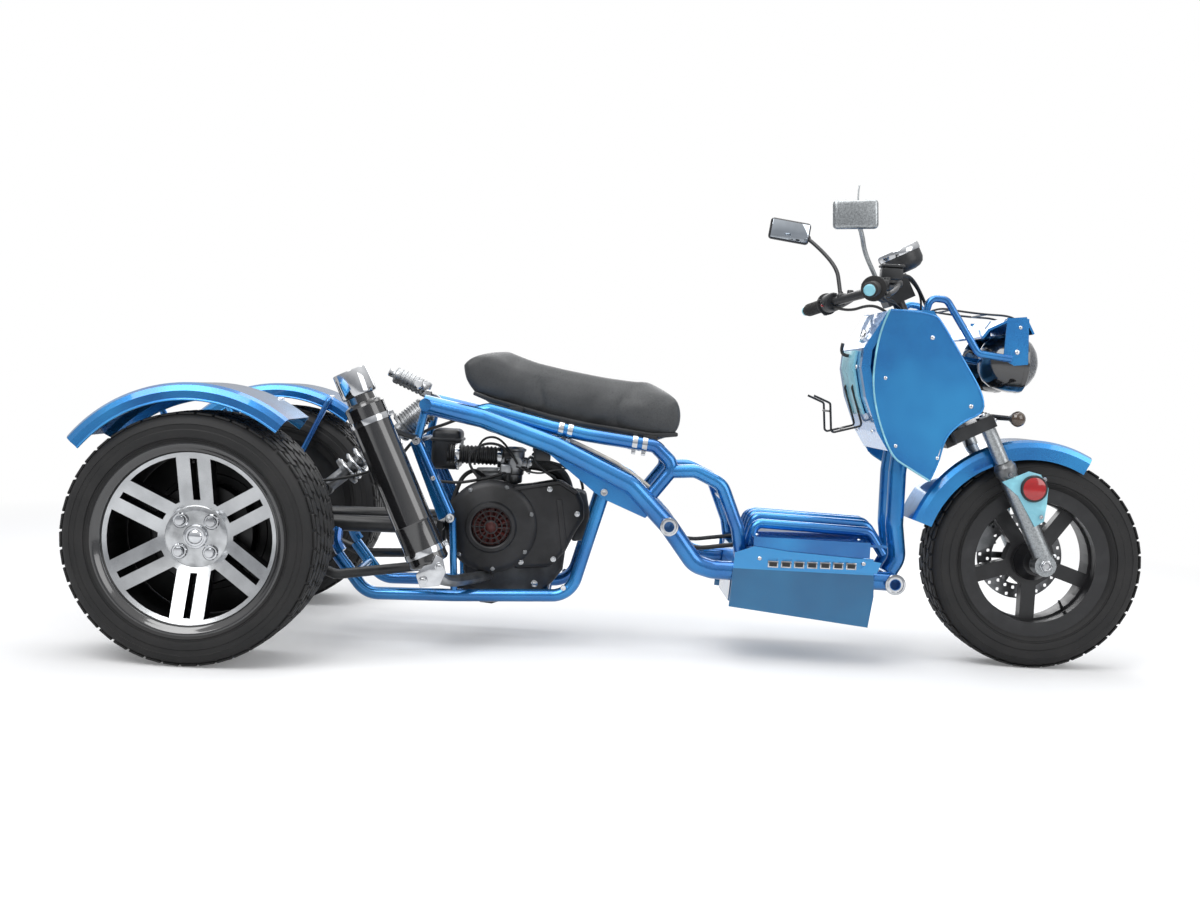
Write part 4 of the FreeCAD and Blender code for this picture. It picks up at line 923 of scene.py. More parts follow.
def exhaust():
    """Black muffler with rolled ends, bright tip and bands, and its header pipe."""
    low = at(445, -262, 193)
    top = at(287, -262, 524)
    along = (top - low).normalized()
    reach = (top - low).length * 1000
    can = turned("muffler", [(0, 0), (30, 0), (38, 2), (42, 6), (42.6, 9), (42, 12), (42, 92), (42.8, 95),
                             (42, 98), (42, reach - 12), (42.6, reach - 8), (41, reach - 3), (34, reach),
                             (31, reach + 2), (30, reach + 20), (0, reach + 20)], 64)
    placed(can, low, along)
    fitted(can, "frame", "exhaust_steel", stands_for=("exhaust",), angle=25)
    tip = turned("muffler_tip", [(30, 16), (36, 18), (37.4, 22), (37.4, 70), (36.8, 72), (33.4, 72), (33, 70),
                                 (33, 30), (0, 29), (0, 24), (30, 16)], 64)
    placed(tip, top, along)
    fitted(tip, "frame", "exhaust_steel", "chrome", angle=25)
    bands = [(low + along * 0.030, along, 1.0), (low + along * (reach - 40) / 1000, along, 1.0)]
    fitted(spread("muffler_bands", clamp_ring("band", 42.4, 13), bands), "frame", "exhaust_steel", "chrome",
           angle=30)
    pipe = line("exhaust_pipe", [at(560, -50, 150), at(540, -90, 148), at(512, -150, 150), at(486, -214, 152),
                                 at(462, -254, 164), low + along * 0.012], 13)
    fitted(pipe, "frame", "exhaust_steel", "dull_silver")
    foot = plate("muffler_foot", [(420, 176), (430, 150), (470, 156), (482, 184), (474, 214), (460, 220),
                                  (452, 200), (436, 196)], -312, 5, 0.0012)
    fitted(foot, "frame", "exhaust_steel", "chrome")
    spots = [(at(436, -312, 166), -SIDEWAYS, 1.3), (at(468, -312, 196), -SIDEWAYS, 1.3)]
    fitted(spread("muffler_bolts", hex_bolt("bolt"), spots), "frame", "exhaust_steel", "chrome")
    hanger = line("muffler_hanger", [low + along * (reach - 40) / 1000 + Vector((0.0, 0.045, 0)),
                                     at(330, -190, 470), at(388, -134, 452)], 7)
    fitted(hanger, "frame", "exhaust_steel", "black_steel")


def coil(name, inner, wire, height, turns):
    """A coil spring standing on the origin, one round section screwed up its axis."""
    bpy.ops.object.select_all(action="DESELECT")
    bpy.ops.mesh.primitive_circle_add(vertices=12, radius=wire / 1000, location=((inner + wire) / 1000, 0, 0),
                                      rotation=(math.pi / 2, 0, 0))
    obj = bpy.context.object
    obj.name = name
    bpy.ops.object.transform_apply(location=True, rotation=True, scale=True)
    modified(obj, "SCREW", screw_offset=height / turns / 1000, iterations=turns, steps=24, render_steps=24,
             axis="Z")
    opened(obj, "EDGE")
    bpy.ops.mesh.select_all(action="DESELECT")
    bpy.ops.mesh.select_non_manifold()
    bpy.ops.mesh.edge_face_add()
    bpy.ops.mesh.select_all(action="SELECT")
    bpy.ops.mesh.normals_make_consistent(inside=False)
    return closed(obj)


def shock():
    """Spring, finned upper body, rod, eyes and the reservoir with its knobs."""
    top = at(405, 0, 526)
    low = at(172, 0, 322)
    along = (low - top).normalized()
    reach = (low - top).length * 1000
    outline = [(0, 16), (26, 16), (30, 20)]
    for number in range(8):
        base = 22 + number * 7
        outline += [(30, base), (30, base + 3.4), (25.5, base + 4.2), (25.5, base + 6.2)]
    outline += [(36, 79), (36, 85), (16, 87), (15, reach - 70), (34, reach - 64), (34, reach - 57),
                (16, reach - 54), (16, reach - 10), (0, reach - 8)]
    body = turned("shock_body", outline, 40)
    placed(body, top, along)
    fitted(body, "frame", "spring_steel", "dull_silver", stands_for=("shock_absorber",))
    spring = coil("shock_spring", 22, 5, reach - 150, 8)
    placed(spring, top + along * 0.086, along)
    fitted(spring, "frame", "spring_steel")
    eyes = []
    for place, radius in ((top, 22), (low, 17)):
        eye = turned("eye", [(9, -13), (radius, -13), (radius + 1, -11), (radius + 1, 11), (radius, 13),
                             (9, 13), (9, -13)], 32)
        eyes.append(placed(eye, place, SIDEWAYS))
    fitted(joined("shock_eyes", eyes), "frame", "spring_steel", "dull_silver")
    start = at(318, -2, 588)
    way = (at(404, -2, 552) - start).normalized()
    outline = [(0, -6), (9, -6), (10, -2), (17, 0), (19, 3)]
    for number in range(6):
        base = 8 + number * 10
        outline += [(19, base), (19, base + 5), (17, base + 6), (17, base + 9)]
    outline += [(19, 70), (19, 80), (17, 84), (0, 84)]
    tank = turned("shock_reservoir", outline, 36)
    placed(tank, start, way)
    fitted(tank, "frame", "spring_steel", "dull_silver")
    knobs = [turned("knob_%d" % number, [(0, 0), (9, 0), (10, 1), (10, 9), (8, 11), (0, 11)],
                    14) for number in range(3)]
    placed(knobs[0], at(396, -22, 548), -SIDEWAYS)
    placed(knobs[1], at(372, -20, 566), Vector((0.2, -1, 0.3)))
    placed(knobs[2], start - way * 0.005, -way)
    fitted(joined("shock_knobs", knobs), "frame", "spring_steel", "chrome")
    spots = [(at(388, -136, 446), -SIDEWAYS, 1.9), (at(470, -136, 281), -SIDEWAYS, 2.1),
             (at(428, -135, 366), -SIDEWAYS, 1.1), (at(388, 136, 446), SIDEWAYS, 1.9),
             (at(470, 136, 281), SIDEWAYS, 2.1), (at(428, 135, 366), SIDEWAYS, 1.1)]
    fitted(spread("strut_bolts", socket_bolt("bolt"), spots), "frame", "chrome")


# ---- frame hardware ------------------------------------------------------------------

def frame_hardware():
    """Clamps, gusset bolts, tube caps and floor screws, on both sides."""
    clamps, bolts, caps, screws = [], [], [], []
    for sign in (1, -1):
        out = SIDEWAYS * sign
        for ahead, height, slope in ((702, 487.5, -0.16), (722, 484.2, -0.16), (866, 466.8, -0.1),
                                     (888, 464.4, -0.1)):
            clamps.append((at(ahead, sign * 116, height), (1, 0, slope), 1.0))
        bolts.append((at(804, sign * 143, 356), out, 1.7))
        bolts.append((at(690, sign * 143, 441), out, 1.1))
        bolts.append((at(726, sign * 137, 140), out, 1.2))
        for ahead, height, radius in ((949, 290, 19), (1450, 190, 21)):
            caps.append((at(ahead, sign * 169, height), out, radius / 20))
        for ahead in (1150, 1378):
            screws.append((at(ahead, sign * 169, 232), out, 1.0))
            screws.append((at(ahead, sign * 100, 277.6), (0, 0, 1), 1.0))
    fitted(spread("rail_clamps", clamp_ring("clamp", 15.4, 11), clamps), "frame", "chrome")
    fitted(spread("frame_bolts", socket_bolt("bolt"), bolts), "frame", "chrome")
    ring = turned("cap", [(12, 0), (21, 0), (21.6, 1), (20.6, 2.6), (17, 3), (16, 1.6), (12, 1.6),
                          (12, 0)], 40)
    fitted(spread("tube_caps", ring, caps), "frame", "chrome")
    fitted(spread("floor_screws", dome_screw("screw"), screws), "frame", "chrome")
    rims, holes = [], []
    for sign in (1, -1):
        for number in range(7):
            place = at(1180 + 28.5 * number, sign * 169.4, 221 + 0.7 * number)
            rim = brick("rim", (23, 2.0, 15), 0.0009, 2)
            # painted shade: the slots are not cut; a dark inset stands for the shade inside each one
            hole = brick("hole", (17.5, 2.2, 10), 0.0009, 2)
            rims.append(shifted(rim, place))
            holes.append(shifted(hole, place + SIDEWAYS * sign * 0.0004))
    fitted(joined("slot_rims", rims), "frame", "blue_paint", "spring_steel")
    fitted(joined("slot_holes", holes), "frame", "blue_paint", "cable_black")
    web = [(372, 440), (396, 452), (478, 292), (444, 272)]
    for side_name, sign in (("left", 1), ("right", -1)):
        fitted(plate("strut_web_" + side_name, web, sign * 119.5 - 1.25, 2.5), "frame", "blue_paint")
        end = [(234, 122, 192), (222, 120, 206), (219, 113, 230), (222, 106, 250)]
        route = [at(ahead, sign * side, height) for ahead, side, height in end]
        fitted(line("cradle_end_" + side_name, route, 13), "frame", "blue_paint")


# ---- steering ------------------------------------------------------------------------

def mirrors():
    """Mirrors turned aside: rounded housing, glass in its rim, joint and stem."""
    for name, sign, low, high, tilt, route, glass_side, shell in (
            ("mirror_left", 1, (1188, 284, 972), (1290, 308, 1026), 7,
             [(1363, 218, 832), (1359, 228, 868), (1352, 240, 910), (1310, 276, 962), (1284, 296, 984)], -1,
             "black_plastic"),
            ("mirror_right", -1, (1240, -312, 940), (1334, -286, 1000), -4,
             [(1363, -218, 832), (1348, -226, 858), (1322, -240, 900), (1306, -280, 936),
              (1296, -292, 950)], 1,
             "fork_metal")):
        size = [b - a for a, b in zip(low, high)]
        middle = at(*[(a + b) / 2 for a, b in zip(low, high)])
        turn = Matrix.Translation(middle) @ Matrix.Rotation(math.radians(tilt), 4, "Y")
        housing = brick(name + "_housing", (size[0], size[1] * 0.8, size[2]), 0.0085, 4)
        settled(housing, turn)
        stem = line(name + "_stem", [at(*place) for place in route], 5)
        base = turned("base", [(0, 0), (13, 0), (13, 8), (8, 14), (6, 24), (0, 24)], 24)
        placed(base, at(1364, sign * 217, 826), (-0.1, sign * 0.16, 1))
        joint = turned("joint", [(0, -9), (5, -8), (8, -5), (9, 0), (8, 5), (5, 8), (0, 9)], 24)
        placed(joint, at(*route[-1]), SIDEWAYS)
        whole = joined(name + "_body", [housing, stem, base, joint])
        fitted(whole, "steering", "mirror_glass", shell, stands_for=(name,))
        glass = brick(name + "_face", (size[0] - 9, 1.6, size[2] - 9), 0.0007, 2)
        settled(glass, turn @ Matrix.Translation((0, glass_side * size[1] * 0.0004, 0)))
        fitted(glass, "steering", "mirror_glass")
    pin = line("mirror_pin", [at(1292, -292, 996), at(1291, -291, 1020), at(1293, -290, 1031.4)], 1.6)
    fitted(pin, "steering", "mirror_glass", "fork_metal")


DIAL = on_steering(409, 45)


def speedometer():
    """Round instrument: pod, bezel, dial with its marks and needle, and its glass."""
    pod = turned("speedometer_pod", [(0, 0), (22, 0), (34, 3), (43, 10), (47, 20), (47, 42), (43, 42),
                                     (42, 38), (0, 38)], 56)
    ear = brick("ear", (26, 34, 14), 0.003)
    shifted(ear, Vector((-0.042, 0, 0.008)))
    whole = placed(joined("speedometer_pod", [pod, ear]), DIAL, STEER_UP)
    fitted(whole, "steering", "black_plastic", stands_for=("speedometer",))
    bezel = turned("speedometer_bezel", [(41.5, 40), (48, 40), (49, 43), (49, 52), (47, 55.5), (42, 56),
                                         (41, 54), (41.5, 40)], 56)
    placed(bezel, DIAL, STEER_UP)
    fitted(bezel, "steering", "chrome")
    marks = []
    for number in range(25):
        angle = math.radians(-135 + 270 * number / 24)
        long = 8 if number % 4 == 0 else 4
        mark = brick("mark_%d" % number, (1.2, long, 0.8), 0.0002, 1)
        inset = Matrix.Translation((0, (38 - long / 2) / 1000, 0.0394))
        marks.append(settled(mark, Matrix.Rotation(angle, 4, "Z") @ inset))
    needle = brick("needle", (1.6, 34, 0.8), 0.0002, 1)
    settled(needle, Matrix.Rotation(2.2, 4, "Z") @ Matrix.Translation((0, 0.013, 0.0412)))
    dial = joined("speedometer_marks", marks + [needle])
    placed(dial, DIAL, STEER_UP)
    fitted(dial, "steering", "black_plastic", "pale_pipe")
    glass = turned("speedometer_glass", [(0, 50), (42, 50), (42, 51.5), (30, 53.4), (16, 54.2),
                                         (0, 54.6)], 48)
    placed(glass, DIAL, STEER_UP)
    fitted(glass, "steering", "lamp_glass")


def controls():
    """Ribbed grips, switch housings, levers with their perches, reservoir and bar clamp."""
    for side_name, sign in (("left", 1), ("right", -1)):
        tip = at(1312, sign * 372, 811)
        root = at(1352, sign * 232, 827)
        inward = (root - tip).normalized()
        outline = [(0, -13), (9, -13), (13, -10), (13, -2), (15.5, 0)]
        for number in range(13):
            base = 3 + number * 7
            outline += [(16, base), (16.2, base + 4.4), (15, base + 5), (15, base + 6.4)]
        outline += [(16, 95), (26, 97), (27, 100), (27, 104), (24, 106), (0, 106)]
        grip = turned("grip_" + side_name, outline, 40)
        placed(grip, tip, inward)
        fitted(grip, "steering", "grip_rubber", stands_for=("grips",) if sign > 0 else ())
        switches = turned("switch", [(0, 107), (21, 107), (23, 109), (23, 124), (21.6, 125), (23, 126),
                                     (23, 141), (21, 144), (0, 144)], 36)
        placed(switches, tip, inward)
        buttons = [brick("button_%d" % number, (10, 9, 7), 0.002) for number in range(3)]
        for number, button in enumerate(buttons):
            shifted(button, tip + inward * (0.114 + 0.011 * number) + Vector((-0.0225, 0,
                                                                              0.006 - 0.006 * number)))
        perch = brick("perch", (30, 30, 24), 0.006, 3)
        shifted(perch, tip + inward * 0.160 + Vector((0.012, 0, 0.006)))
        fitted(joined("switches_" + side_name, [switches, perch] + buttons), "steering", "black_plastic")
        kill = brick("red_switch_" + side_name, (7, 9, 7), 0.002)
        shifted(kill, tip + inward * 0.130 + Vector((-0.024, 0, -0.009)))
        fitted(kill, "steering", "black_plastic", "red_lens")
        cap = turned("bar_end_" + side_name, [(0, 0), (10, 0), (12, 2), (12, 6), (9, 9), (0, 9.6)], 28)
        placed(cap, tip - inward * 0.012, -inward)
        fitted(cap, "steering", "chrome", "light_blue")
        lever = line("lever", [at(1380, sign * 200, 842), at(1398, sign * 216, 842),
                               at(1398, sign * 244, 835), at(1380, sign * 300, 820),
                               at(1360, sign * 346, 808), at(1352, sign * 358, 805)], 5.2)
        knob = turned("knob", [(0, -6), (4, -6), (6.6, -3), (7, 0), (6.6, 3), (4, 6), (0, 6)], 20)
        shifted(knob, at(1352, sign * 359, 805))
        pivot = turned("pivot", [(0, -12), (7, -12), (8, -10), (8, 10), (7, 12), (0, 12)], 20)
        shifted(pivot, at(1382, sign * 202, 842))
        fitted(joined("lever_" + side_name, [lever, knob, pivot]), "steering", "chrome", "black_steel",
               stands_for=("brake_levers",) if sign > 0 else ())
    tank = brick("brake_reservoir", (46, 34, 26), 0.005, 3)
    lid = brick("lid", (50, 38, 6), 0.002)
    pieces = [shifted(tank, at(1396, -176, 864)), shifted(lid, at(1396, -176, 880))]
    fitted(joined("brake_reservoir", pieces), "steering", "black_plastic")
    spots = [(at(1380, -176, 883), (0, 0, 1), 0.7), (at(1412, -176, 883), (0, 0, 1), 0.7)]
    fitted(spread("reservoir_screws", dome_screw("screw"), spots), "steering", "chrome")
    top = on_steering(408, 2)
    spots = [(top + STEER_AHEAD * x / 1000 + SIDEWAYS * y / 1000, STEER_UP, 1.3)
             for x in (-20, 20) for y in (-22, 22)]
    spots += [(on_steering(46, 49, side), STEER_UP, 1.5) for side in (-100, 100)]
    spots += [(on_steering(32, 66.5, side), STEER_AHEAD, 1.0) for side in (-108, -92, 92, 108)]
    fitted(spread("clamp_bolts", socket_bolt("bolt"), spots), "steering", "chrome")


STEERING_CABLES = [
    ("brake_hose", 3.6, [(1402, -160, 858), (1440, -120, 872), (1478, -60, 858), (1520, -20, 800),
                         (1566, 20, 700), (1616, 52, 600), (1640, 62, 540), (1664, 84, 480), (1676, 92, 400),
                         (1700, 90, 340), (1716, 84, 320)]),
    ("throttle_lead", 2.8, [(1360, -212, 822), (1392, -150, 806), (1430, -90, 806), (1456, -50, 790),
                            (1478, -34, 760)]),
    ("switch_lead_right", 3.4, [(1352, -226, 812), (1376, -180, 800), (1412, -110, 816), (1440, -64, 802),
                                (1470, -40, 770)]),
    ("switch_lead_left", 3.4, [(1352, 226, 812), (1376, 180, 800), (1412, 110, 816), (1440, 64, 802),
                               (1470, 40, 770)]),
    ("rear_brake_lead", 2.8, [(1384, 196, 846), (1420, 150, 860), (1452, 96, 856), (1476, 56, 820),
                              (1486, 38, 770)]),
    ("dial_lead", 2.6, [(1462, 0, 880), (1494, 12, 862), (1516, 20, 820), (1512, 26, 780)]),
]
ENTERS_SHIELD = ("throttle_lead", "switch_lead_right", "switch_lead_left", "rear_brake_lead")


def steering_cables():
    """Hoses and wires held by the handlebar and the fork. Those that enter the shield stay where they were
    made and are joined to no body.
    """
    for name, radius, route in STEERING_CABLES:
        places = [at(*place) for place in route]
        bends = (places[-1], places[1]) if name in ENTERS_SHIELD else None
        fitted(line(name, places, radius), "steering", "black_plastic", "cable_black", bends=bends)


def fork_details():
    """Collars, seals, axle nuts, side brackets with red reflectors, and the signals."""
    along = (FRONT_AXLE - on_steering(0)).dot(STEER_UP) * 1000
    collars, nuts, bolts = [], [], []
    for sign in (1, -1):
        side = 100 * sign
        out = SIDEWAYS * sign
        collars.append((on_steering(-86, 49, side), STEER_UP, 1.0))
        nuts.append((FRONT_AXLE + out * 0.1205, out, 1.0))
        bolts += [(on_steering(-92, 49, side) + out * 0.0245, out, 1.1),
                  (on_steering(along + 8, 49, side) + STEER_AHEAD * 0.023, STEER_AHEAD, 1.0),
                  (at(1776, sign * 124.6, 436), out, 1.0), (at(1774, sign * 124.6, 352), out, 1.0)]
    collar = turned("collar", [(16, 22), (20, 20), (23, 12), (25, 10), (25, -4), (23, -8), (21, -14),
                               (16, -14), (16, 22)], 40)
    fitted(spread("fork_collars", collar, collars), "steering", "fork_metal", "dull_silver")
    nut = turned("nut", [(8, 0), (14.5, 0), (14.5, 2), (12.6, 2.4), (12.6, 10), (11, 11.6), (8, 11.6),
                         (6.5, 7), (0, 7.4)], 6)
    fitted(spread("axle_nuts", soft_edges(nut, 0.0004, 1), nuts), "steering", "chrome")
    fitted(spread("fork_bolts", socket_bolt("bolt"), bolts), "steering", "chrome")
    outline = [(1683, 425), (1712, 438), (1741, 452), (1768, 446), (1787, 417), (1786, 380), (1782, 342),
               (1762, 329), (1748, 352), (1720, 396)]
    for side_name, sign in (("left", 1), ("right", -1)):
        panel = plate("fork_bracket_" + side_name, outline, 121 if sign > 0 else -124, 3, 0.001)
        rim = turned("reflector_rim_" + side_name, [(25.5, 0), (30, 0), (30, 5), (28, 7.5), (25.5, 7.5),
                                                    (25.5, 0)], 44)
        placed(rim, at(1754, sign * 124, 414), SIDEWAYS * sign)
        fitted(panel, "steering", "blue_panel", "light_blue",
               stands_for=("fork_brackets",) if sign > 0 else ())
        fitted(rim, "steering", "chrome", "black_plastic")
        lens = turned("reflector_" + side_name, [(0, 2), (25.4, 2), (25.4, 7), (20, 8.6), (0, 9.6)], 44)
        placed(lens, at(1754, sign * 124, 414), SIDEWAYS * sign)
        fitted(lens, "steering", "red_lens")
        root = on_steering(40, 66, sign * 50)
        tip = at(1697, sign * 150, 566)
        way = (tip - root).normalized()
        reach = (tip - root).length * 1000
        stalk = turned("signal_body_" + side_name, [(0, 0), (9, 0), (9, 4), (6.5, 7), (5.5, reach - 24),
                                                    (9, reach - 14), (15, reach - 4),
                                 (17, reach + 2), (15, reach + 4), (0, reach + 4)], 28)
        placed(stalk, root, way)
        fitted(stalk, "steering", "black_plastic", stands_for=("turn_signals",) if sign > 0 else ())
        lens = turned("signal_lens_" + side_name, [(0, reach + 2), (16, reach + 2), (17.4, reach + 5),
                                                   (15, reach + 12), (9, reach + 17), (0, reach + 19)], 32)
        placed(lens, root, way)
        fitted(lens, "steering", "amber_lens")


# ---- lamps and panels ----------------------------------------------------------------

def headlamps():
    """Twin lamps: black bowl, bezel, bright reflector, bulb shield and domed glass."""
    bowls, bezels, dishes, glasses = [], [], [], []
    for sign in (1, -1):
        place = at(1690, sign * 74, 690)
        bowl = turned("bowl_%d" % sign, [(0, -62), (26, -60), (44, -50), (56, -34), (63, -14), (66, 6),
                                         (66, 26), (62, 28), (60, 20), (56, 4), (40, -22), (0, -40),
                                         (0, -62)], 56)
        bezel = turned("bezel_%d" % sign, [(58, 22), (66.4, 20), (67, 24), (66, 31), (62, 34), (58, 32),
                                           (58, 22)], 56)
        dish = turned("dish_%d" % sign, [(59, 22), (52, 2), (34, -18), (14, -28), (0, -30), (0, -34),
                                         (36, -24), (56, 2), (60, 22), (59, 22)], 56)
        bulb = turned("bulb_%d" % sign, [(0, -30), (12, -30), (12, 2), (9, 10), (0, 12)], 28)
        glass = turned("glass_%d" % sign, [(59.6, 26), (57, 36), (48, 48), (34, 58), (18, 64.5), (0, 67),
                                           (0, 65.5), (18, 63), (33, 56.6), (46.6, 47), (55.4, 35.6),
                                           (58, 26), (59.6, 26)], 56)
        for piece, kind in ((bowl, bowls), (bezel, bezels), (dish, dishes), (bulb, dishes), (glass, glasses)):
            kind.append(placed(piece, place, (1, 0, 0)))
    bridge = brick("bridge", (22, 60, 22), 0.004)
    fitted(joined("lamp_bowls", bowls + [shifted(bridge, at(1661, 0, 690))]), "frame", "black_plastic",
           "exhaust_steel", stands_for=("headlamps",))
    fitted(joined("lamp_bezels", bezels), "frame", "black_plastic", "exhaust_steel")
    fitted(joined("lamp_dishes", dishes), "frame", "mirror_glass")
    fitted(joined("lamp_glasses", glasses), "frame", "lamp_glass")
    bolts = [(at(1690, sign * 143.8, 712), SIDEWAYS * sign, 1.2) for sign in (1, -1)]
    bolts += [(at(1694, sign * 143.8, 766), SIDEWAYS * sign, 0.9) for sign in (1, -1)]
    fitted(spread("hood_bolts", dome_screw("screw"), bolts), "frame", "chrome")
    wires = []
    for side in (-60, 60):
        wires.append(line("rack_%d" % side, [at(1500, side, 786), at(1526, side, 806), at(1580, side, 800),
                                             at(1640, side, 796), at(1694, side, 796),
                                             at(1704, side, 790)], 2.4))
    for ahead, height in ((1560, 802), (1640, 796)):
        wires.append(line("rack_bar_%d" % ahead, [at(ahead, -60, height), at(ahead, 0, height),
                                                  at(ahead, 60, height)], 2.4))
    fitted(joined("lamp_rack", wires), "frame", "black_steel")


def shield_details():
    """Screws, key switch, hook, inner trim and the seam beads of the leg shield."""
    spots = []
    for sign in (1, -1):
        out = SIDEWAYS * sign
        spots += [(at(ahead, sign * 130, height), out, size) for ahead, height, size in
                  ((1506, 734, 1.1), (1601, 588, 1.1), (1408, 640, 0.9), (1534, 470, 0.9), (1440, 492, 0.9))]
    for side in (-84, 84):
        spots += [(at(1352, side, 662), (-1, 0, 0), 1.0), (at(1396, side, 520), (-1, 0, -0.3), 1.0)]
    fitted(spread("shield_screws", dome_screw("screw"), spots), "frame", "chrome")
    lock = turned("key_switch", [(0, 0), (15, 0), (15, 5), (13, 8), (8, 8), (8, 6), (1.4, 6), (1.4, 2),
                                 (0, 2)], 32)
    placed(lock, at(1372, -44, 732), (-1, 0, 0.3))
    fitted(lock, "frame", "chrome")
    hook = line("bag_hook", [at(1362, 0, 690), at(1340, 0, 686), at(1330, 0, 700), at(1334, 0, 716)], 4)
    fitted(hook, "frame", "black_steel")
    for side_name, sign in (("left", 1), ("right", -1)):
        edge = [at(ahead, sign * 130.5, height) for ahead, height in
                ((1410, 790), (1505, 791), (1529, 762), (1574, 694), (1620, 625), (1630, 590), (1622, 572),
                 (1590, 556), (1563, 535), (1545, 506), (1535, 452), (1520, 421))]
        bead = line("shield_bead_" + side_name, edge, 2.2)
        fitted(bead, "frame", "blue_panel")
        back = [at(ahead, sign * 130.5, height) for ahead, height in
                ((1408, 790), (1390, 748), (1380, 660), (1384, 600), (1404, 531), (1434, 468), (1463, 450),
                 (1520, 419))]
        bead = line("shield_bead_back_" + side_name, back, 2.2)
        fitted(bead, "frame", "blue_panel", "light_blue")
    panel = plate("inner_trim", [(1350, 700), (1346, 660), (1360, 598), (1376, 556), (1381, 558), (1366, 600),
                                 (1353, 660), (1357, 698)], -70, 140, 0.0015)
    fitted(panel, "frame", "blue_panel", "light_blue")


FENDER_RADIUS = 303.5


def fender_details():
    """A bead along each rear fender's edge, painted a paler blue as a painted highlight on the lip, and the
    screws of its stays.
    """
    for side_name, sign in (("left", 1), ("right", -1)):
        beads = []
        for side, radius in ((117.5, 271), (-117.5, 271)):
            route = []
            for number in range(15):
                angle = math.radians(53 + 89 * number / 14)
                route.append(at(radius * math.cos(angle), sign * 399 + side, 248 + radius * math.sin(angle)))
            beads.append(line("bead_%d" % side, route, 2.6))
        # painted highlight: the bead is real, but it takes the paler panel blue so that the lip reads lighter
        # than the fender
        fitted(joined("fender_beads_" + side_name, beads), "frame", "blue_paint", "blue_panel")
        spots = []
        for angle in (66, 118):
            turn = math.radians(angle)
            for side in (-126, -102):
                spots.append((at(FENDER_RADIUS * math.cos(turn), sign * (399 + side + 12),
                                 248 + FENDER_RADIUS * math.sin(turn)),
                              (math.cos(turn), 0, math.sin(turn)), 1.0))
        fitted(spread("fender_screws_" + side_name, dome_screw("screw"), spots), "frame", "chrome")


def tail():
    """Rear lamp with its lens, blank number plate, its frame, lamp and bolts."""
    arm = line("tail_arm", [at(-60, 0, 258), at(-120, 0, 266), at(-176, 0, 290), at(-192, 0, 350),
                            at(-194, 0, 416)], 10)
    back = brick("back", (12, 124, 44), 0.004)
    holder = brick("holder", (10, 180, 110), 0.004)
    hood = brick("hood", (26, 44, 12), 0.004)
    pieces = [arm, shifted(back, at(-188, 0, 420)), shifted(holder, at(-202, 0, 341)),
              shifted(hood, at(-206, 0, 398))]
    fitted(joined("tail_bracket", pieces), "frame", "black_plastic", "black_steel", stands_for=("tail_lamp",))
    lens = brick("tail_lens", (28, 116, 38), 0.008, 4)
    ribs = fins("lens_ribs", 11, (3, 3, 30), at(-221, -50, 420), (0, 0.010, 0))
    fitted(joined("tail_lens", [shifted(lens, at(-207, 0, 420)), ribs]), "frame", "red_lens")
    blank = brick("number_plate", (2, 172, 100), 0.0008, 1)
    fitted(shifted(blank, at(-208.5, 0, 340)), "frame", "black_plastic", "fork_metal")
    spots = [(at(-209.5, side, height), (-1, 0, 0), 1.1) for side in (-73, 73) for height in (380, 300)]
    fitted(spread("plate_bolts_heads", hex_bolt("bolt"), spots), "frame", "chrome")


# ---- carried-over frame parts --------------------------------------------------------

OTHER_FINISH = {"side_skirts": "skirt_blue", "battery_box": "skirt_blue", "shield_sides": "blue_panel",
                "front_fender": "blue_panel", "brake_caliper": "dull_silver"}


def finish_cad():
    """Every part that stays as the frame made it gets its procedural finish."""
    slots = {row["node"]: row["material_slot"] for row in frame["record"]["subparts"]}
    for name, node in frame["nodes"].items():
        if not node.material_slots:
            node.data.materials.append(None)
        for place in node.material_slots:
            place.material = FINISHES[OTHER_FINISH.get(name, slots[name])]


# ---- stage ---------------------------------------------------------------------------

DIM_SKY = (0.42, 0.43, 0.45, 1)
FLOOR_REACH = 9
CAMERA_PLACE = (-0.1574, -3.1741, 0.5839)
CAMERA_LENS = 41.62
YAW, PITCH, ROLL = -0.0174, 0.0448, 0.0556


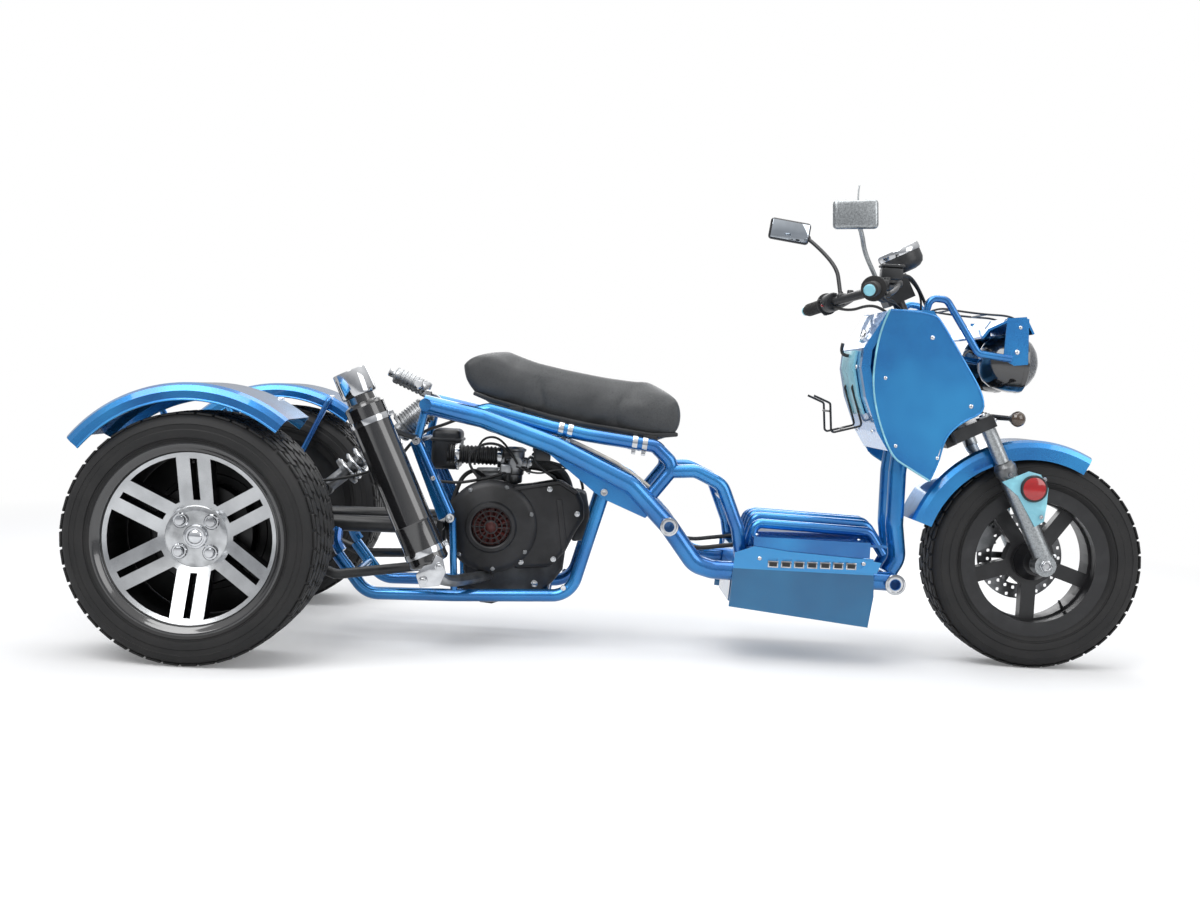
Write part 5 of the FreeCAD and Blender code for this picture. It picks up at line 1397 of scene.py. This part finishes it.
def stage():
    """Pale floor, white surroundings, soft lamps and the camera."""
    scene = bpy.context.scene
    scene.view_settings.view_transform = "Standard"
    floor = started("floor")
    drawn([Vector((x, y, 0)) * FLOOR_REACH for x, y in ((-1, -1), (1, -1), (1, 1), (-1, 1))])
    bpy.ops.mesh.select_all(action="SELECT")
    bpy.ops.mesh.edge_face_add()
    bpy.ops.mesh.normals_make_consistent(inside=False)
    closed(floor)
    pale = Finish("floor", (0.84, 0.84, 0.84, 1), 0.9, 0.0, specular_ior_level=0.1)
    seen = pale.node("ShaderNodeLightPath", {}, {}, "Is Camera Ray")
    glow = pale.node("ShaderNodeEmission", {}, {"Color": (1, 1, 1, 1), "Strength": 0.16})
    nothing = pale.node("ShaderNodeEmission", {}, {"Color": (0, 0, 0, 1), "Strength": 0.0})
    lit = pale.node("ShaderNodeMixShader", {}, {0: seen, 1: nothing, 2: glow})
    total = pale.node("ShaderNodeAddShader", {}, {0: Channel(pale, pale.shader.outputs[0]), 1: lit})
    far = pale.ramp(pale.node("ShaderNodeVectorMath", {"operation": "LENGTH"}, {0: pale.place},
                              "Value") * 0.1,
                    (0.22, 0.0), (0.34, 1.0))
    white = pale.node("ShaderNodeEmission", {}, {"Color": (1, 1, 1, 1), "Strength": 1.0})
    faded = pale.node("ShaderNodeMixShader", {}, {0: far * seen, 1: total, 2: white})
    pale.tree.links.new(faded.socket, pale.tree.nodes["Material Output"].inputs["Surface"])
    floor.data.materials.append(pale.material)

    world = bpy.data.worlds.new("studio")
    scene.world = world
    world.use_nodes = True
    sky = Nodes(world.node_tree)
    seen, glossy, through = [sky.node("ShaderNodeLightPath", {}, {}, "Is %s Ray" % kind)
                             for kind in ("Camera", "Glossy", "Transmission")]
    height = sky.node("ShaderNodeSeparateXYZ", {}, {0: sky.node("ShaderNodeTexCoord", {}, {}, "Generated")},
                      "Z")
    rise = sky.node("ShaderNodeMapRange", {}, {"Value": height, "From Min": 0.05, "From Max": 0.75})
    direct = sky.node("ShaderNodeMath", {"operation": "MAXIMUM"}, {0: seen, 1: through})
    share = sky.node("ShaderNodeMath", {"operation": "MAXIMUM"}, {0: direct, 1: glossy * rise})
    colour = sky.node("ShaderNodeMix", {"data_type": "RGBA"}, {0: share, 6: DIM_SKY, 7: (1, 1, 1, 1)}, 2)
    sky.tree.links.new(colour.socket, sky.tree.nodes["Background"].inputs["Color"])

    for name, place, power, width in (("key", (-1.6, -2.6, 3.4), 95, 2.6),
                                      ("fill", (2.8, -2.2, 1.8), 34, 2.2), ("top", (0.2, 0.3, 3.6), 60, 3.0),
                                      ("back", (0.4, 3.2, 2.2), 40, 2.4)):
        bpy.ops.object.select_all(action="DESELECT")
        bpy.ops.object.light_add(type="AREA", location=place)
        lamp = bpy.context.object
        lamp.name = name
        lamp.data.energy = power
        lamp.data.size = width
        lamp.rotation_euler = (Vector((0, 0, 0.4)) - Vector(place)).to_track_quat("-Z", "Y").to_euler()

    bpy.ops.object.select_all(action="DESELECT")
    bpy.ops.object.camera_add(location=CAMERA_PLACE)
    camera = bpy.context.object
    camera.name = "camera"
    camera.data.sensor_width = 36
    camera.data.lens = CAMERA_LENS
    camera.data.clip_start = 0.05
    camera.data.clip_end = 60
    ahead = Vector((-math.sin(YAW) * math.cos(PITCH), math.cos(YAW) * math.cos(PITCH), -math.sin(PITCH)))
    right = ahead.cross(Vector((0, 0, 1))).normalized()
    up = right.cross(ahead)
    tilted_right = right * math.cos(ROLL) + up * math.sin(ROLL)
    tilted_up = up * math.cos(ROLL) - right * math.sin(ROLL)
    turn = Matrix((tilted_right, tilted_up, -ahead)).transposed()
    camera.matrix_world = Matrix.Translation(camera.location) @ turn.to_4x4()
    scene.camera = camera


stage()
finish_cad()
wheels()
wheel_hardware()
brake_disc()
seat()
fan_cover()
engine_case()
carburettor()
cables()
exhaust()
shock()
frame_hardware()
mirrors()
speedometer()
controls()
steering_cables()
fork_details()
headlamps()
shield_details()
fender_details()
tail()
